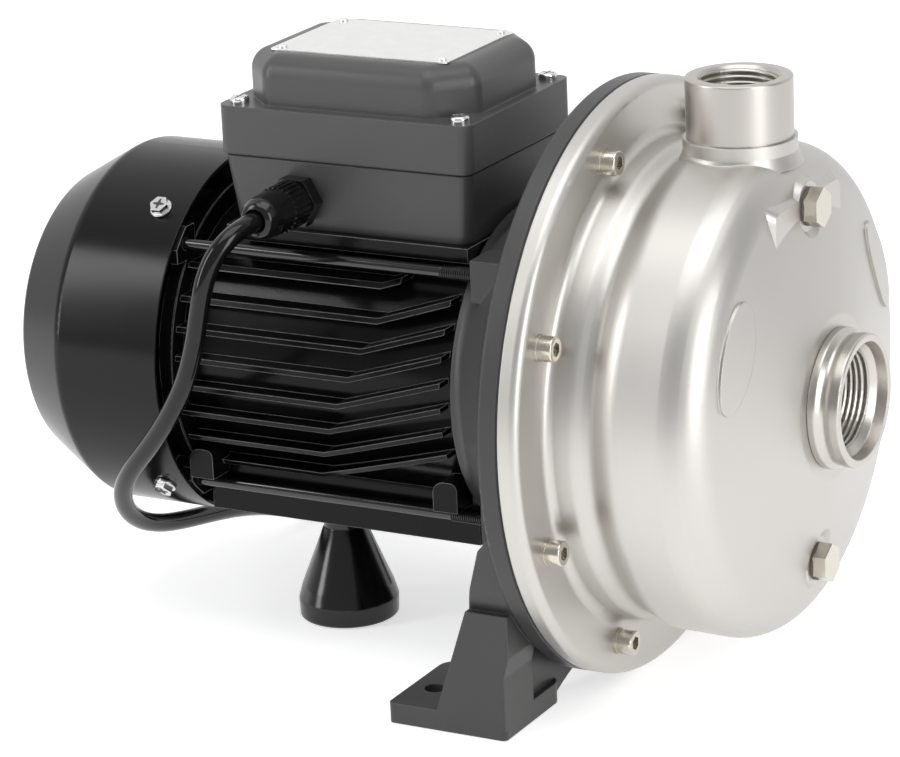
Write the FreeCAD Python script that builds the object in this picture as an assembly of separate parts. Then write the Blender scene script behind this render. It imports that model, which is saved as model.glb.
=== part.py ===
import FreeCAD, Part
import math
import os

V = FreeCAD.Vector

# Close-coupled centrifugal pump, millimetres, +Z up.
# X runs along the shaft, with the suction port at +X and the fan at -X.
# The origin lies midway between the two foot bolts, on the surface that the pump stands on.
# Places along the shaft are measured from the flange plane, where the casing meets the bracket.

SHAFT_HEIGHT = 122.0
FLANGE_X = 54.5

# Foot of the bracket
FOOT_BOLT_SPACING = 160.0
FOOT_HOLE_RADIUS = 4.5
FOOT_WIDTH = 200.0
PAD_LENGTH = 52.5
PAD_WIDTH = 49.0
PAD_THICKNESS = 8.5
PAD_REAR = -65.0
LEG_WIDTH = 24.0
LEG_REAR = 20.5
LEG_FOLD_HEIGHT = 52.0
LEG_FOLD_REAR = 36.7
WEB_THICKNESS = 9.0
WEB_SETBACK = 3.0
ARCH_RISE = 12.0
ARCH_START = 2.0

# Pump casing, drawn from stainless sheet
FLANGE_RADIUS = 120.0
FLANGE_LIP = 8.0
CASING_SHEET = 2.0
SCREW_CIRCLE = FLANGE_RADIUS - 13.5
SHOULDER_RADIUS = SCREW_CIRCLE - 9.0
SHOULDER_LENGTH = 11.0
NECK_RADIUS = SHOULDER_RADIUS - 4.0
BODY_RADIUS = SHOULDER_RADIUS + 1.0
DOME_RADIUS = 18.2
FACE_SLOPE = 13.6
FACE_DEPTH = 85.5
FACE_FLAT_RADIUS = 33.0

# Casing screws, M6 socket head
SCREW_COUNT = 8
SCREW_RADIUS = 3.0
SCREW_HEAD_RADIUS = 5.0
SCREW_HEAD_HEIGHT = 6.0
SCREW_HOLE_CLEARANCE = 0.3
LOCK_WASHER = 1.4
HEX_SOCKET = 5.0

# Ports, pipe threads cut to their minor diameters
SUCTION_FACE = 98.0
SUCTION_RADIUS = 26.5
SUCTION_FLARE = 28.0
SUCTION_THREAD_RADIUS = 19.5
SUCTION_THREAD_LENGTH = 16.0
SUCTION_COUNTERBORE = 22.5
SUCTION_SPIGOT = 23.5
DISCHARGE_X = 47.3
DISCHARGE_TOP = 126.3
DISCHARGE_RADIUS = 21.0
DISCHARGE_THREAD_RADIUS = 15.15
DISCHARGE_CHAMFER = 1.4
COLLAR_TOP = 102.4
COLLAR_RADIUS = 22.4
COLLAR_FOOT_RADIUS = 24.4
COLLAR_FOOT = 92.0

# Priming and drain plugs, hex head, each with the height of its axis and the depth of its seat
PLUGS = {"priming": (76.4, 75.6), "drain": (-69.1, 76.6)}
PLUG_FLATS = 14.0
PLUG_HEAD = 5.5
PLUG_THREAD_RADIUS = 5.0
PLUG_THREAD_LENGTH = 9.0
PLUG_SEAT_RADIUS = 10.0
PLUG_WASHER = 1.0
PLUG_WASHER_RADIUS = 7.6
LAND_HALF_WIDTH = 30.5
LAND_TOP = 80.5
LAND_SPREAD = 9.0
LAND_HEIGHT = 13.0

# Shallow oval pads pressed into the front beside the suction socket
PAD_ANGLE = 63.0
PAD_CIRCLE = 76.0
PAD_HALF_LENGTH = 22.0
PAD_HALF_WIDTH = 9.0
PAD_RISE = 1.2

# Bracket between casing and motor
RING_FRONT = -1.0
RING_REAR = -9.0
REGISTER_RADIUS = FLANGE_RADIUS - CASING_SHEET - 0.4
REGISTER_FRONT = 3.5
RING_OPENING = SHOULDER_RADIUS - 1.5
BELL_RADIUS = 66.0
BRACKET_REAR = -50.0
BRACKET_WALL = 6.0
SPIGOT_LENGTH = 6.0
ROD_OFFSET = 50.5
ROD_RADIUS = 2.5
BOSS_SIDE = 17.0
BOSS_FRONT = -28.0
BOSS_REAR = -42.0
TAPPED_DEPTH = 14.0

# Seals between bracket and casing
RIM_SEAL_INNER = REGISTER_RADIUS + 0.2
RIM_SEAL_OUTER = FLANGE_RADIUS - 0.4
PLATE_SHEET = 2.0
PLATE_RADIUS = REGISTER_RADIUS - 1.1
PLATE_DEPTH = 24.0
CASING_SEAL_INNER = SHOULDER_RADIUS + 2.8
CASING_SEAL_OUTER = CASING_SEAL_INNER + 2.5

# Shaft and bearings
SHAFT_RADIUS = 8.5
SHAFT_WET_RADIUS = 7.0
ROTOR_SHAFT_RADIUS = 10.0
BEARING_BORE = 17.0
BEARING_OUTSIDE = 40.0
BEARING_WIDTH = 12.0
BALL_RADIUS = 3.37
BALL_COUNT = 8
BALL_CLEARANCE = 0.15
FRONT_BEARING = -49.0
REAR_BEARING = -188.0
HOUSING_RADIUS = 26.0
RUNNING_GAP = 0.3

# Mechanical seal
SEAT_RADIUS = 17.8
SEAT_BORE = 9.5
SEAT_LENGTH = 8.0
SEAL_RING_RADIUS = 13.0
SEAL_HEAD_LENGTH = 8.0
SPRING_WIRE = 1.5
SPRING_TURNS = 3

# Impeller
IMPELLER_RADIUS = 74.0
IMPELLER_BACK = 41.0
IMPELLER_EXIT = 6.0
IMPELLER_SHEET = 2.0
IMPELLER_EYE_RADIUS = 21.0
IMPELLER_HUB_RADIUS = 12.5
IMPELLER_NECK = 70.0
BLADE_COUNT = 6
BLADE_THICKNESS = 2.0
BLADE_START = 24.0
HUB_FRONT = 56.0
NUT_FLATS = 17.0
NUT_HEIGHT = 8.0
KEY_WIDTH = 4.0
KEY_HEIGHT = 4.0
KEY_LENGTH = 12.0

# Motor
FRAME_RADIUS = 58.5
STATOR_RADIUS = 55.0
STATOR_BORE = 30.0
STATOR_LENGTH = 70.0
STATOR_FRONT = -80.0
FRAME_REAR = -178.0
FIN_RADIUS = 66.0
FIN_THICKNESS = 2.2
FIN_REAR = -177.0
FIN_FRONT = -54.5
FIN_LEVELS = (42.0, 29.8, 18.0, 6.2, -5.6, -17.4, -29.2, -41.0)
FIN_SWEEP = 16.5
KINK_TOP_X = -85.0
KINK_SLOPE = 0.47
TOP_FIN_FRONT = -79.0
TOP_FIN_SWEPT = 8.0
PLATFORM_HALF_WIDTH = 45.0
PLATFORM_TOP = 59.0
PLATFORM_THICKNESS = 6.0
RAIL_HALF_WIDTH = 44.0
RAIL_BOTTOM = 65.0
RAIL_TOP = 54.0
WINDING_OVERHANG = 14.0
SHIELD_THICKNESS = 7.0
SHIELD_RADIUS = 67.0
EAR_SIDE = 14.0
EAR_THICKNESS = 4.0
ROD_END = -187.0
ROD_NUT_FLATS = 7.0
ROD_NUT_HEIGHT = 4.0

# Fan and its cover
COVER_RADIUS = 77.0
COVER_BACK_RADIUS = 61.0
COVER_SHEET = 1.2
COVER_OPEN = -180.0
COVER_CREASE = -228.0
COVER_BACK = -256.0
COVER_SCREW_X = -192.0
COVER_SCREW_ANGLES = (36.0, 133.0, 227.0, 324.0)
COVER_SCREW_RADIUS = 2.5
COVER_SCREW_FLANGE = 4.6
GRILLE_SLOT = 4.0
GRILLE_RINGS = (20.0, 31.0, 42.0, 53.0)
FAN_RADIUS = 62.0
FAN_FRONT = -208.0
FAN_BACK = -236.0
FAN_BLADES = 8

# Terminal box
BOX_FRONT = -48.5
BOX_REAR = -163.2
BOX_HALF_WIDTH = 44.5
BOX_WALL = 3.0
SEAM_HEIGHT = 88.6
SKIRT_TOP = 108.3
LID_TOP = 128.5
CROWN_INSET = 8.0
CORNER_RELIEF = 17.0
BOX_GASKET = 1.0
BOX_SCREW_INSET = 7.0
PLATE_LENGTH = 81.0
PLATE_WIDTH = 57.0
RATING_PLATE = 0.6
CAPACITOR_RADIUS = 15.0
CAPACITOR_LENGTH = 48.0

# Cable gland and mains lead
GLAND_X = -127.0
GLAND_Z = 72.0
GLAND_FLATS = 19.0
GLAND_THREAD_RADIUS = 7.6
GLAND_NUT_RADIUS = 9.6
GLAND_DOME_RADIUS = 9.0
GLAND_HEX = 6.0
GLAND_NUT = 13.0
GLAND_DOME = 16.0
GLAND_ROUND = 8.0
GLAND_RIBS = 26
GLAND_BORE = 5.5
CORD_RADIUS = 4.0
COIL_RADIUS = 44.0
COIL_TURNS = 3.25
COIL_PITCH = 8.2
COIL_X = -190.0
COIL_Y = 150.0
TIE_THICKNESS = 1.2
TIE_WIDTH = 12.0
PLUG_BODY_RADIUS = 19.0
PLUG_BODY_LENGTH = 34.0
RELIEF_LENGTH = 32.0
PIN_RADIUS = 2.4
PIN_SPACING = 19.0
PIN_LENGTH = 19.0

# Route of the mains lead from inside the gland nut to the coil, measured from the flange plane and the shaft
LEAD_ROUTE = (
    (-127.0, -75.6, 72.0), (-127.0, -84.8, 72.0), (-129.6, -93.4, 69.2), (-133.4, -99.4, 62.8),
    (-136.6, -102.4, 53.6), (-139.2, -103.2, 42.2), (-142.8, -102.8, 27.0), (-149.2, -101.2, 10.5),
    (-160.0, -98.4, -6.4), (-173.6, -94.0, -22.2), (-187.2, -88.6, -35.6), (-197.8, -80.4, -48.4),
    (-204.6, -68.6, -61.2), (-208.6, -53.2, -72.0), (-210.2, -35.4, -79.6), (-210.4, -16.0, -84.4),
    (-210.0, 4.6, -88.2), (-209.8, 25.8, -92.8), (-210.2, 46.8, -99.2), (-211.2, 67.2, -107.2),
    (-213.6, 87.2, -113.8), (-218.6, 106.2, -117.4), (-225.6, 122.4, -117.8), (-231.4, 136.6, -117.4),
    (-234.0, 150.0, -116.8),
)

# Cone foot under the motor
CONE_X = -140.5
CONE_RADIUS = 21.0
CONE_SHOULDER = 13.0
CONE_NECK_RADIUS = 9.0
CONE_NECK_HEIGHT = 40.0
CONE_SCREW_RADIUS = 4.0
CONE_RECESS_RADIUS = 8.0
CONE_RECESS = 11.5
FOOT_SCREW_FLATS = 13.0
FOOT_SCREW_HEAD = 5.3
FOOT_SCREW_GRIP = 6.0

AXIS = V(0, 0, SHAFT_HEIGHT)
ALONG = V(1, 0, 0)
UP = V(0, 0, 1)


def at(x, y=0.0, z=0.0):
    """Place measured from the flange plane along the shaft and from the shaft axis across it."""
    return V(FLANGE_X + x, y, SHAFT_HEIGHT + z)


def on_circle(radius, degrees):
    """Offsets across the shaft of a point at this angle from straight up, turning towards +Y."""
    angle = math.radians(degrees)
    return radius * math.sin(angle), radius * math.cos(angle)


# Outlines

def rounded_face(corners, place):
    """Face of a closed polygon; each corner is (u, v) or (u, v, radius)."""
    count = len(corners)
    entries = []
    for i in range(count):
        corner = V(corners[i][0], corners[i][1], 0)
        radius = corners[i][2] if len(corners[i]) > 2 else 0.0
        before = V(corners[i - 1][0], corners[i - 1][1], 0) - corner
        after = V(corners[(i + 1) % count][0], corners[(i + 1) % count][1], 0) - corner
        half = before.getAngle(after) / 2
        if radius <= 0 or abs(half - math.pi / 2) < 1e-4:
            entries.append((corner, None, corner))
            continue
        reach = min(radius / math.tan(half), 0.48 * before.Length, 0.48 * after.Length)
        radius = reach * math.tan(half)
        start = corner + before.normalize() * reach
        end = corner + after.normalize() * reach
        inward = (start + end) * 0.5 - corner
        middle = corner + inward.normalize() * (radius / math.sin(half) - radius)
        entries.append((start, middle, end))
    edges = []
    for i in range(count):
        start, middle, end = entries[i]
        if middle is not None:
            edges.append(Part.Arc(place(start.x, start.y), place(middle.x, middle.y), place(end.x, end.y)).toShape())
        following = entries[(i + 1) % count][0]
        if end.distanceToPoint(following) > 1e-6:
            edges.append(Part.LineSegment(place(end.x, end.y), place(following.x, following.y)).toShape())
    return Part.Face(Part.Wire(edges))


def offset_line(path, thickness):
    """The same open path moved to its left by a thickness, corner radii kept parallel."""
    moved = []
    count = len(path)
    for i in range(count):
        point = V(path[i][0], path[i][1], 0)
        sides = []
        for a, b in ((i - 1, i), (i, i + 1)):
            if a >= 0 and b < count:
                run = V(path[b][0] - path[a][0], path[b][1] - path[a][1], 0).normalize()
                sides.append(V(-run.y, run.x, 0))
        if len(sides) == 1:
            shift = sides[0] * thickness
            radius = 0.0
        else:
            bisector = (sides[0] + sides[1]).normalize()
            shift = bisector * (thickness / bisector.dot(sides[0]))
            turn = sides[0].x * sides[1].y - sides[0].y * sides[1].x
            change = -thickness if turn > 0 else thickness
            radius = max(path[i][2] + change, 0.3)
        moved.append((point.x + shift.x, point.y + shift.y, radius))
    return moved


def sheet_outline(path, thickness):
    """Closed section of a sheet drawn along an open path of (u, v, radius)."""
    return list(path) + offset_line(path, thickness)[::-1]


# Solids about and along the shaft

def turned(corners):
    """Solid of revolution about the shaft; corners are (x, radius) or (x, radius, corner radius)."""
    face = rounded_face(corners, lambda x, r: at(x, 0, r))
    return face.revolve(AXIS, ALONG, 360)


def drum(x0, x1, radius, y=0.0, z=0.0):
    """Cylinder along the shaft direction from x0 to x1."""
    return Part.makeCylinder(radius, abs(x1 - x0), at(min(x0, x1), y, z), ALONG)


def tube(x0, x1, outer, inner, y=0.0, z=0.0):
    """Hollow cylinder along the shaft direction."""
    return drum(x0, x1, outer, y, z).cut(drum(x0, x1, inner, y, z))


def block(x0, x1, y0, y1, z0, z1):
    """Box between these places."""
    return Part.makeBox(x1 - x0, y1 - y0, z1 - z0, at(x0, y0, z0))


def hexagon(flats, length, base, direction):
    """Hexagonal prism standing on a base point."""
    corners = []
    for i in range(6):
        angle = math.radians(60 * i)
        corners.append((flats / math.sqrt(3) * math.cos(angle), flats / math.sqrt(3) * math.sin(angle)))
    face = rounded_face(corners, lambda u, v: V(u, v, 0))
    prism = face.extrude(V(0, 0, length))
    prism.Placement = FreeCAD.Placement(base, FreeCAD.Rotation(UP, direction))
    return prism


def chamfered_hexagon(flats, length, base, direction):
    """Hexagonal prism whose far end is turned to a cone, as on a bolt head."""
    prism = hexagon(flats, length, base, direction)
    reach = 0.62 * flats
    cone = Part.makeCone(reach + length, flats / 2 * 0.96, length + reach - flats / 2 * 0.96, base, direction)
    return prism.common(cone)


def joined(solids):
    """One solid made of touching or overlapping solids."""
    whole = solids[0].multiFuse(solids[1:])
    return whole.removeSplitter()


def group(solids):
    """Separate solids kept in one node."""
    return Part.makeCompound(solids)


def save(shape, name):
    """Write one piece, after checking that it is sound."""
    if not shape.isValid():
        print("not valid:", name)
    shape.exportStep("parts/" + name + ".step")
    print(name, "solids", len(shape.Solids), "volume", round(shape.Volume / 1000, 2), "cm3")


# Pump casing and ports

def dome_corners():
    """Corners whose fillets make the round between the casing's side and its sloping front."""
    slope = math.radians(FACE_SLOPE)
    centre_r = BODY_RADIUS - DOME_RADIUS
    support = FACE_DEPTH * math.cos(slope) + FACE_FLAT_RADIUS * math.sin(slope)
    centre_x = (support - DOME_RADIUS - centre_r * math.sin(slope)) / math.cos(slope)
    count = 3
    turn = (math.pi / 2 - slope) / count
    reach = DOME_RADIUS / math.cos(turn / 2)
    corners = []
    for i in range(count):
        normal = math.pi / 2 - (i + 0.5) * turn
        corners.append((centre_x + reach * math.cos(normal), centre_r + reach * math.sin(normal), DOME_RADIUS))
    return corners


def casing_path():
    """Outer line of the drawn casing, from the lip's rear edge to the suction hole."""
    wall_end = FLANGE_LIP + SHOULDER_LENGTH
    return [
        (0.0, FLANGE_RADIUS, 0),
        (FLANGE_LIP, FLANGE_RADIUS, 3.5),
        (FLANGE_LIP, SHOULDER_RADIUS, 4.0),
        (wall_end, SHOULDER_RADIUS - 1.0, 6.0),
        (wall_end + 6.0, NECK_RADIUS, 6.0),
        (wall_end + 16.0, BODY_RADIUS - 0.4, 14.0),
    ] + dome_corners() + [
        (FACE_DEPTH, FACE_FLAT_RADIUS, 5.0),
        (FACE_DEPTH, SUCTION_SPIGOT, 0),
    ]


def pad_plan(angle, inset):
    """Prism with a pad's oval plan, its long side along the circle."""
    y, z = on_circle(PAD_CIRCLE, angle)
    out_y, out_z = on_circle(1.0, angle)
    outward = V(0, out_y, out_z)
    ring = Part.Ellipse(V(0, 0, 0), PAD_HALF_LENGTH - inset, PAD_HALF_WIDTH - inset).toShape()
    turn = FreeCAD.Rotation(outward.cross(ALONG), outward, ALONG, "ZXY")
    ring.Placement = FreeCAD.Placement(at(FACE_DEPTH - 2 * LAND_HEIGHT, y, z), turn)
    return Part.Face(Part.Wire([ring])).extrude(ALONG * 3 * LAND_HEIGHT)


def land_form(x0, grow0, x1, grow1):
    """Solid with the plan of the flat land round the priming plug, grown at its two ends."""
    low = LAND_TOP - 2 * LAND_HEIGHT
    wires = []
    for x, grow in ((x0, grow0), (x1, grow1)):
        half = LAND_HALF_WIDTH + grow
        corners = [(-half, low), (half, low), (half, LAND_TOP + grow, 4.0), (-half, LAND_TOP + grow, 4.0)]
        wires.append(rounded_face(corners, lambda y, z: at(x, y, z)).OuterWire)
    return Part.makeLoft(wires, True)


def pressed_forms(inset):
    """Seats and land of the plugs on the front; the inner face has the same forms, one sheet further in."""
    raised = []
    sunk = []
    for height, seat in PLUGS.values():
        floor = at(seat - inset, 0, height)
        root = floor - ALONG * LAND_HEIGHT
        radius = PLUG_SEAT_RADIUS
        raised.append(Part.makeCone(radius + LAND_HEIGHT / 2 - inset, radius - inset, LAND_HEIGHT, root, ALONG))
        sunk.append(Part.makeCone(radius + inset, radius + inset + LAND_HEIGHT, LAND_HEIGHT, floor, ALONG))
    land = PLUGS["priming"][1] - inset
    raised.append(land_form(land - LAND_HEIGHT, LAND_SPREAD - inset, land, -inset))
    return raised, sunk


def screw_places():
    """Centres of the casing screws across the shaft, none of them straight up."""
    step = 360.0 / SCREW_COUNT
    return [on_circle(SCREW_CIRCLE, (i + 0.5) * step) for i in range(SCREW_COUNT)]


def filled(path, inset):
    """Solid inside a line of the casing, with the forms pressed in its front."""
    body = turned([(0.0, 0.0)] + path + [(path[-1][0], 0.0)])
    lifted = body.translated(ALONG * PAD_RISE)
    pads = [lifted.common(pad_plan(angle, inset)) for angle in (-PAD_ANGLE, PAD_ANGLE)]
    raised, sunk = pressed_forms(inset)
    raised += pads
    for form in raised:
        body = body.fuse(form)
    for form in sunk:
        body = body.cut(form)
    return body


def casing():
    """Drawn shell with its pulled collar under the discharge and the forms pressed in its front."""
    path = casing_path()
    outer = filled(path, 0.0)
    inside = filled(offset_line(path, -CASING_SHEET), CASING_SHEET)
    rim_height = (COLLAR_TOP - COLLAR_FOOT) / 2
    foot = at(DISCHARGE_X, 0, COLLAR_FOOT)
    collar = Part.makeCone(COLLAR_FOOT_RADIUS, COLLAR_RADIUS, rim_height, foot, UP)
    rim = Part.makeCylinder(COLLAR_RADIUS, rim_height, foot + UP * rim_height, UP)
    body = joined([outer, collar, rim]).cut(inside)
    bore_radius = DISCHARGE_THREAD_RADIUS + 2.0
    body = body.cut(Part.makeCylinder(bore_radius, COLLAR_TOP, at(DISCHARGE_X), UP))
    body = body.cut(drum(0.0, FACE_DEPTH + 1.0, SUCTION_SPIGOT))
    for height, seat in PLUGS.values():
        body = body.cut(drum(seat - 2 * CASING_SHEET, seat + 1.0, PLUG_THREAD_RADIUS + 0.1, 0, height))
    for y, z in screw_places():
        body = body.cut(drum(0.0, FLANGE_LIP + 1.0, SCREW_RADIUS + SCREW_HOLE_CLEARANCE, y, z))
    return body


def suction_socket():
    """Threaded socket welded on the front face, with a flared root and a counterbored mouth."""
    thread_start = SUCTION_FACE - 6.5
    thread_end = thread_start - SUCTION_THREAD_LENGTH
    return turned([
        (thread_end, SUCTION_THREAD_RADIUS),
        (thread_end, SUCTION_SPIGOT),
        (FACE_DEPTH, SUCTION_SPIGOT),
        (FACE_DEPTH, SUCTION_FLARE, 0.5),
        (FACE_DEPTH + 3.0, SUCTION_FLARE, 1.2),
        (FACE_DEPTH + 5.5, SUCTION_RADIUS - 0.8, 2.0),
        (SUCTION_FACE - 4.0, SUCTION_RADIUS, 3.0),
        (SUCTION_FACE, SUCTION_RADIUS, 0.8),
        (SUCTION_FACE, SUCTION_COUNTERBORE + 0.8, 0.3),
        (thread_start + 2.0, SUCTION_COUNTERBORE, 0.5),
        (thread_start, SUCTION_THREAD_RADIUS + 1.0),
        (thread_start - 1.0, SUCTION_THREAD_RADIUS),
    ])


def discharge_socket():
    """Threaded socket welded on the collar, mouth upwards."""
    corners = [
        (COLLAR_TOP, DISCHARGE_THREAD_RADIUS),
        (COLLAR_TOP, DISCHARGE_RADIUS),
        (DISCHARGE_TOP, DISCHARGE_RADIUS, 0.8),
        (DISCHARGE_TOP, DISCHARGE_THREAD_RADIUS + DISCHARGE_CHAMFER, 0.3),
        (DISCHARGE_TOP - DISCHARGE_CHAMFER, DISCHARGE_THREAD_RADIUS),
    ]
    face = rounded_face(corners, lambda z, r: at(DISCHARGE_X + r, 0, z))
    return face.revolve(at(DISCHARGE_X), UP, 360)


def plug(height, seat):
    """Hex-headed plug screwed in along the shaft direction."""
    head_base = seat + PLUG_WASHER
    head = chamfered_hexagon(PLUG_FLATS, PLUG_HEAD, at(head_base, 0, height), ALONG)
    shank = drum(head_base - PLUG_THREAD_LENGTH, head_base, PLUG_THREAD_RADIUS, 0, height)
    return joined([head, shank])


def plug_washer(height, seat):
    """Sealing washer under a plug's head."""
    return tube(seat, seat + PLUG_WASHER, PLUG_WASHER_RADIUS, PLUG_THREAD_RADIUS + 0.1, 0, height)


def casing_screw(y, z):
    """Socket-head screw through the casing flange into the bracket."""
    seat = FLANGE_LIP + LOCK_WASHER
    head = turned_at([(seat, 0.0), (seat, SCREW_HEAD_RADIUS), (seat + SCREW_HEAD_HEIGHT, SCREW_HEAD_RADIUS, 0.8),
                      (seat + SCREW_HEAD_HEIGHT, 0.0)], y, z)
    shank = drum(RING_FRONT - 5.0, seat, SCREW_RADIUS, y, z)
    socket = hexagon(HEX_SOCKET, 3.2, at(seat + SCREW_HEAD_HEIGHT - 3.0, y, z), ALONG)
    return joined([head, shank]).cut(socket)


def turned_at(corners, y, z):
    """Solid of revolution about an axis parallel to the shaft."""
    face = rounded_face(corners, lambda x, r: at(x, y, z + r))
    return face.revolve(at(0, y, z), ALONG, 360)


def lock_washer(y, z):
    """Split washer under a casing screw."""
    ring = tube(FLANGE_LIP, FLANGE_LIP + LOCK_WASHER, SCREW_HEAD_RADIUS + 0.4, SCREW_RADIUS + 0.1, y, z)
    gap = Part.makeBox(LOCK_WASHER, SCREW_HEAD_RADIUS, 0.8, at(FLANGE_LIP, y, z - 0.4))
    return ring.cut(gap)


# Sealing between casing and bracket

def rim_seal():
    """Flat ring between the bracket and the turned-back lip."""
    return tube(RING_FRONT, 0.0, RIM_SEAL_OUTER, RIM_SEAL_INNER)


def casing_seal():
    """Flat ring between the seal plate and the casing flange."""
    inner_face = FLANGE_LIP - CASING_SHEET
    return tube(REGISTER_FRONT + PLATE_SHEET, inner_face, CASING_SEAL_OUTER, CASING_SEAL_INNER)


def seal_plate():
    """Dished stainless disc that closes the casing and carries the stationary seal seat."""
    front = REGISTER_FRONT + PLATE_SHEET
    cup = SEAT_RADIUS + 0.2
    path = [
        (front, PLATE_RADIUS, 0),
        (front, SHOULDER_RADIUS - 3.0, 3.5),
        (PLATE_DEPTH, NECK_RADIUS - 7.0, 6.0),
        (PLATE_DEPTH, cup, 1.5),
        (PLATE_DEPTH - SEAT_LENGTH - 2.0, cup, 0.4),
        (PLATE_DEPTH - SEAT_LENGTH - 2.0, SEAT_BORE, 0),
    ]
    plate = turned(sheet_outline(path, -PLATE_SHEET))
    for y, z in screw_places():
        plate = plate.cut(drum(REGISTER_FRONT - 1.0, front + 1.0, SCREW_RADIUS + SCREW_HOLE_CLEARANCE, y, z))
    return plate


def seal_seat():
    """Stationary ceramic ring pressed in the plate's cup."""
    back = PLATE_DEPTH - SEAT_LENGTH - 2.0
    return turned([(back, SEAT_BORE), (back, SEAT_RADIUS + 0.2, 1.0), (back + SEAT_LENGTH - 2.0, SEAT_RADIUS + 0.2),
                   (back + SEAT_LENGTH - 2.0, SEAL_RING_RADIUS + 1.0), (back + SEAT_LENGTH, SEAL_RING_RADIUS + 1.0),
                   (back + SEAT_LENGTH, SEAT_BORE)])


def seal_head():
    """Rotating carbon ring in its bellows, driven by the shaft."""
    front = PLATE_DEPTH - 2.0 + 0.2
    return turned([(front, SHAFT_WET_RADIUS + 1.0), (front, SEAL_RING_RADIUS, 0.4),
                   (front + 4.0, SEAL_RING_RADIUS, 0.8), (front + 4.0, SEAL_RING_RADIUS - 2.0),
                   (front + SEAL_HEAD_LENGTH, SEAL_RING_RADIUS - 2.0, 0.8),
                   (front + SEAL_HEAD_LENGTH, SHAFT_WET_RADIUS), (front + 2.0, SHAFT_WET_RADIUS),
                   (front + 2.0, SHAFT_WET_RADIUS + 1.0)])


def seal_spring():
    """Coil spring of square wire between the seal head and the impeller hub."""
    start = PLATE_DEPTH - 2.0 + 0.2 + SEAL_HEAD_LENGTH + SPRING_WIRE / 2
    length = IMPELLER_BACK - SPRING_WIRE / 2 - start
    radius = SEAL_RING_RADIUS - 3.4
    helix = Part.makeHelix(length / SPRING_TURNS, length, radius)
    helix.Placement = FreeCAD.Placement(at(start), FreeCAD.Rotation(UP, ALONG))
    start_edge = helix.Edges[0]
    point = start_edge.valueAt(start_edge.FirstParameter)
    heading = start_edge.tangentAt(start_edge.FirstParameter)
    outward = V(0, point.y, point.z - SHAFT_HEIGHT).normalize() * (SPRING_WIRE / 2)
    along = heading.cross(outward).normalize() * (SPRING_WIRE / 2)
    corners = [point + outward + along, point + outward - along, point - outward - along, point - outward + along]
    section = Part.makePolygon(corners + corners[:1])
    return Part.Wire(helix.Edges).makePipeShell([section], True, True)


# Impeller

def impeller_blade(turn):
    """One backward-curved blade, a curved strip standing between the shrouds."""
    outer = IMPELLER_RADIUS - 0.5
    sweep = 75.0

    def arc_point(radius, share, side):
        y, z = on_circle(radius, turn + sweep * share)
        tangent = on_circle(1.0, turn + sweep * share + 90.0 - 62.0)
        return V(at(0).x, y, SHAFT_HEIGHT + z) + V(0, tangent[0], tangent[1]) * side

    middle_radius = (BLADE_START + outer) / 2
    half = BLADE_THICKNESS / 2
    left = Part.Arc(arc_point(BLADE_START, 0, -half), arc_point(middle_radius, 0.42, -half), arc_point(outer, 1, -half))
    right = Part.Arc(arc_point(outer, 1, half), arc_point(middle_radius, 0.42, half), arc_point(BLADE_START, 0, half))
    left_edge = left.toShape()
    right_edge = right.toShape()
    tip = Part.LineSegment(arc_point(outer, 1, -half), arc_point(outer, 1, half)).toShape()
    root = Part.LineSegment(arc_point(BLADE_START, 0, half), arc_point(BLADE_START, 0, -half)).toShape()
    face = Part.Face(Part.Wire([left_edge, tip, right_edge, root]))
    face.translate(V(IMPELLER_BACK + 1.0, 0, 0))
    return face.extrude(V(IMPELLER_NECK - IMPELLER_BACK, 0, 0))


def impeller():
    """Closed impeller: back disc, hub, curved blades and front shroud with its wear neck."""
    back = turned([(IMPELLER_BACK, SHAFT_WET_RADIUS), (IMPELLER_BACK, IMPELLER_RADIUS, 0.5),
                   (IMPELLER_BACK + IMPELLER_SHEET, IMPELLER_RADIUS, 0.5),
                   (IMPELLER_BACK + IMPELLER_SHEET + 1.0, IMPELLER_HUB_RADIUS, 6.0),
                   (HUB_FRONT, IMPELLER_HUB_RADIUS - 1.5, 1.0), (HUB_FRONT, SHAFT_WET_RADIUS)])
    shroud_x = IMPELLER_BACK + IMPELLER_SHEET + IMPELLER_EXIT
    path = [
        (shroud_x, IMPELLER_RADIUS, 0),
        (shroud_x + 6.0, IMPELLER_EYE_RADIUS + 9.0, 8.0),
        (shroud_x + 12.0, IMPELLER_EYE_RADIUS, 5.0),
        (IMPELLER_NECK, IMPELLER_EYE_RADIUS, 0),
    ]
    shroud = turned(sheet_outline(path, IMPELLER_SHEET))
    under_shroud = turned([(IMPELLER_BACK + 0.5, 0.0), (IMPELLER_BACK + 0.5, IMPELLER_RADIUS - 0.4)]
                          + path + [(IMPELLER_NECK, 0.0)])
    blades = []
    for i in range(BLADE_COUNT):
        blades.append(impeller_blade(360.0 * i / BLADE_COUNT).common(under_shroud))
    whole = joined([back, shroud] + blades)
    keyway = Part.makeBox(HUB_FRONT - IMPELLER_BACK + 2.0, KEY_WIDTH, KEY_HEIGHT,
                          at(IMPELLER_BACK - 1.0, -KEY_WIDTH / 2, SHAFT_WET_RADIUS - KEY_HEIGHT / 2))
    return whole.cut(keyway)


def impeller_key():
    """Parallel key between shaft and impeller."""
    start = HUB_FRONT - KEY_LENGTH - 1.0
    return Part.makeBox(KEY_LENGTH, KEY_WIDTH, KEY_HEIGHT,
                        at(start, -KEY_WIDTH / 2, SHAFT_WET_RADIUS - KEY_HEIGHT / 2))


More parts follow.
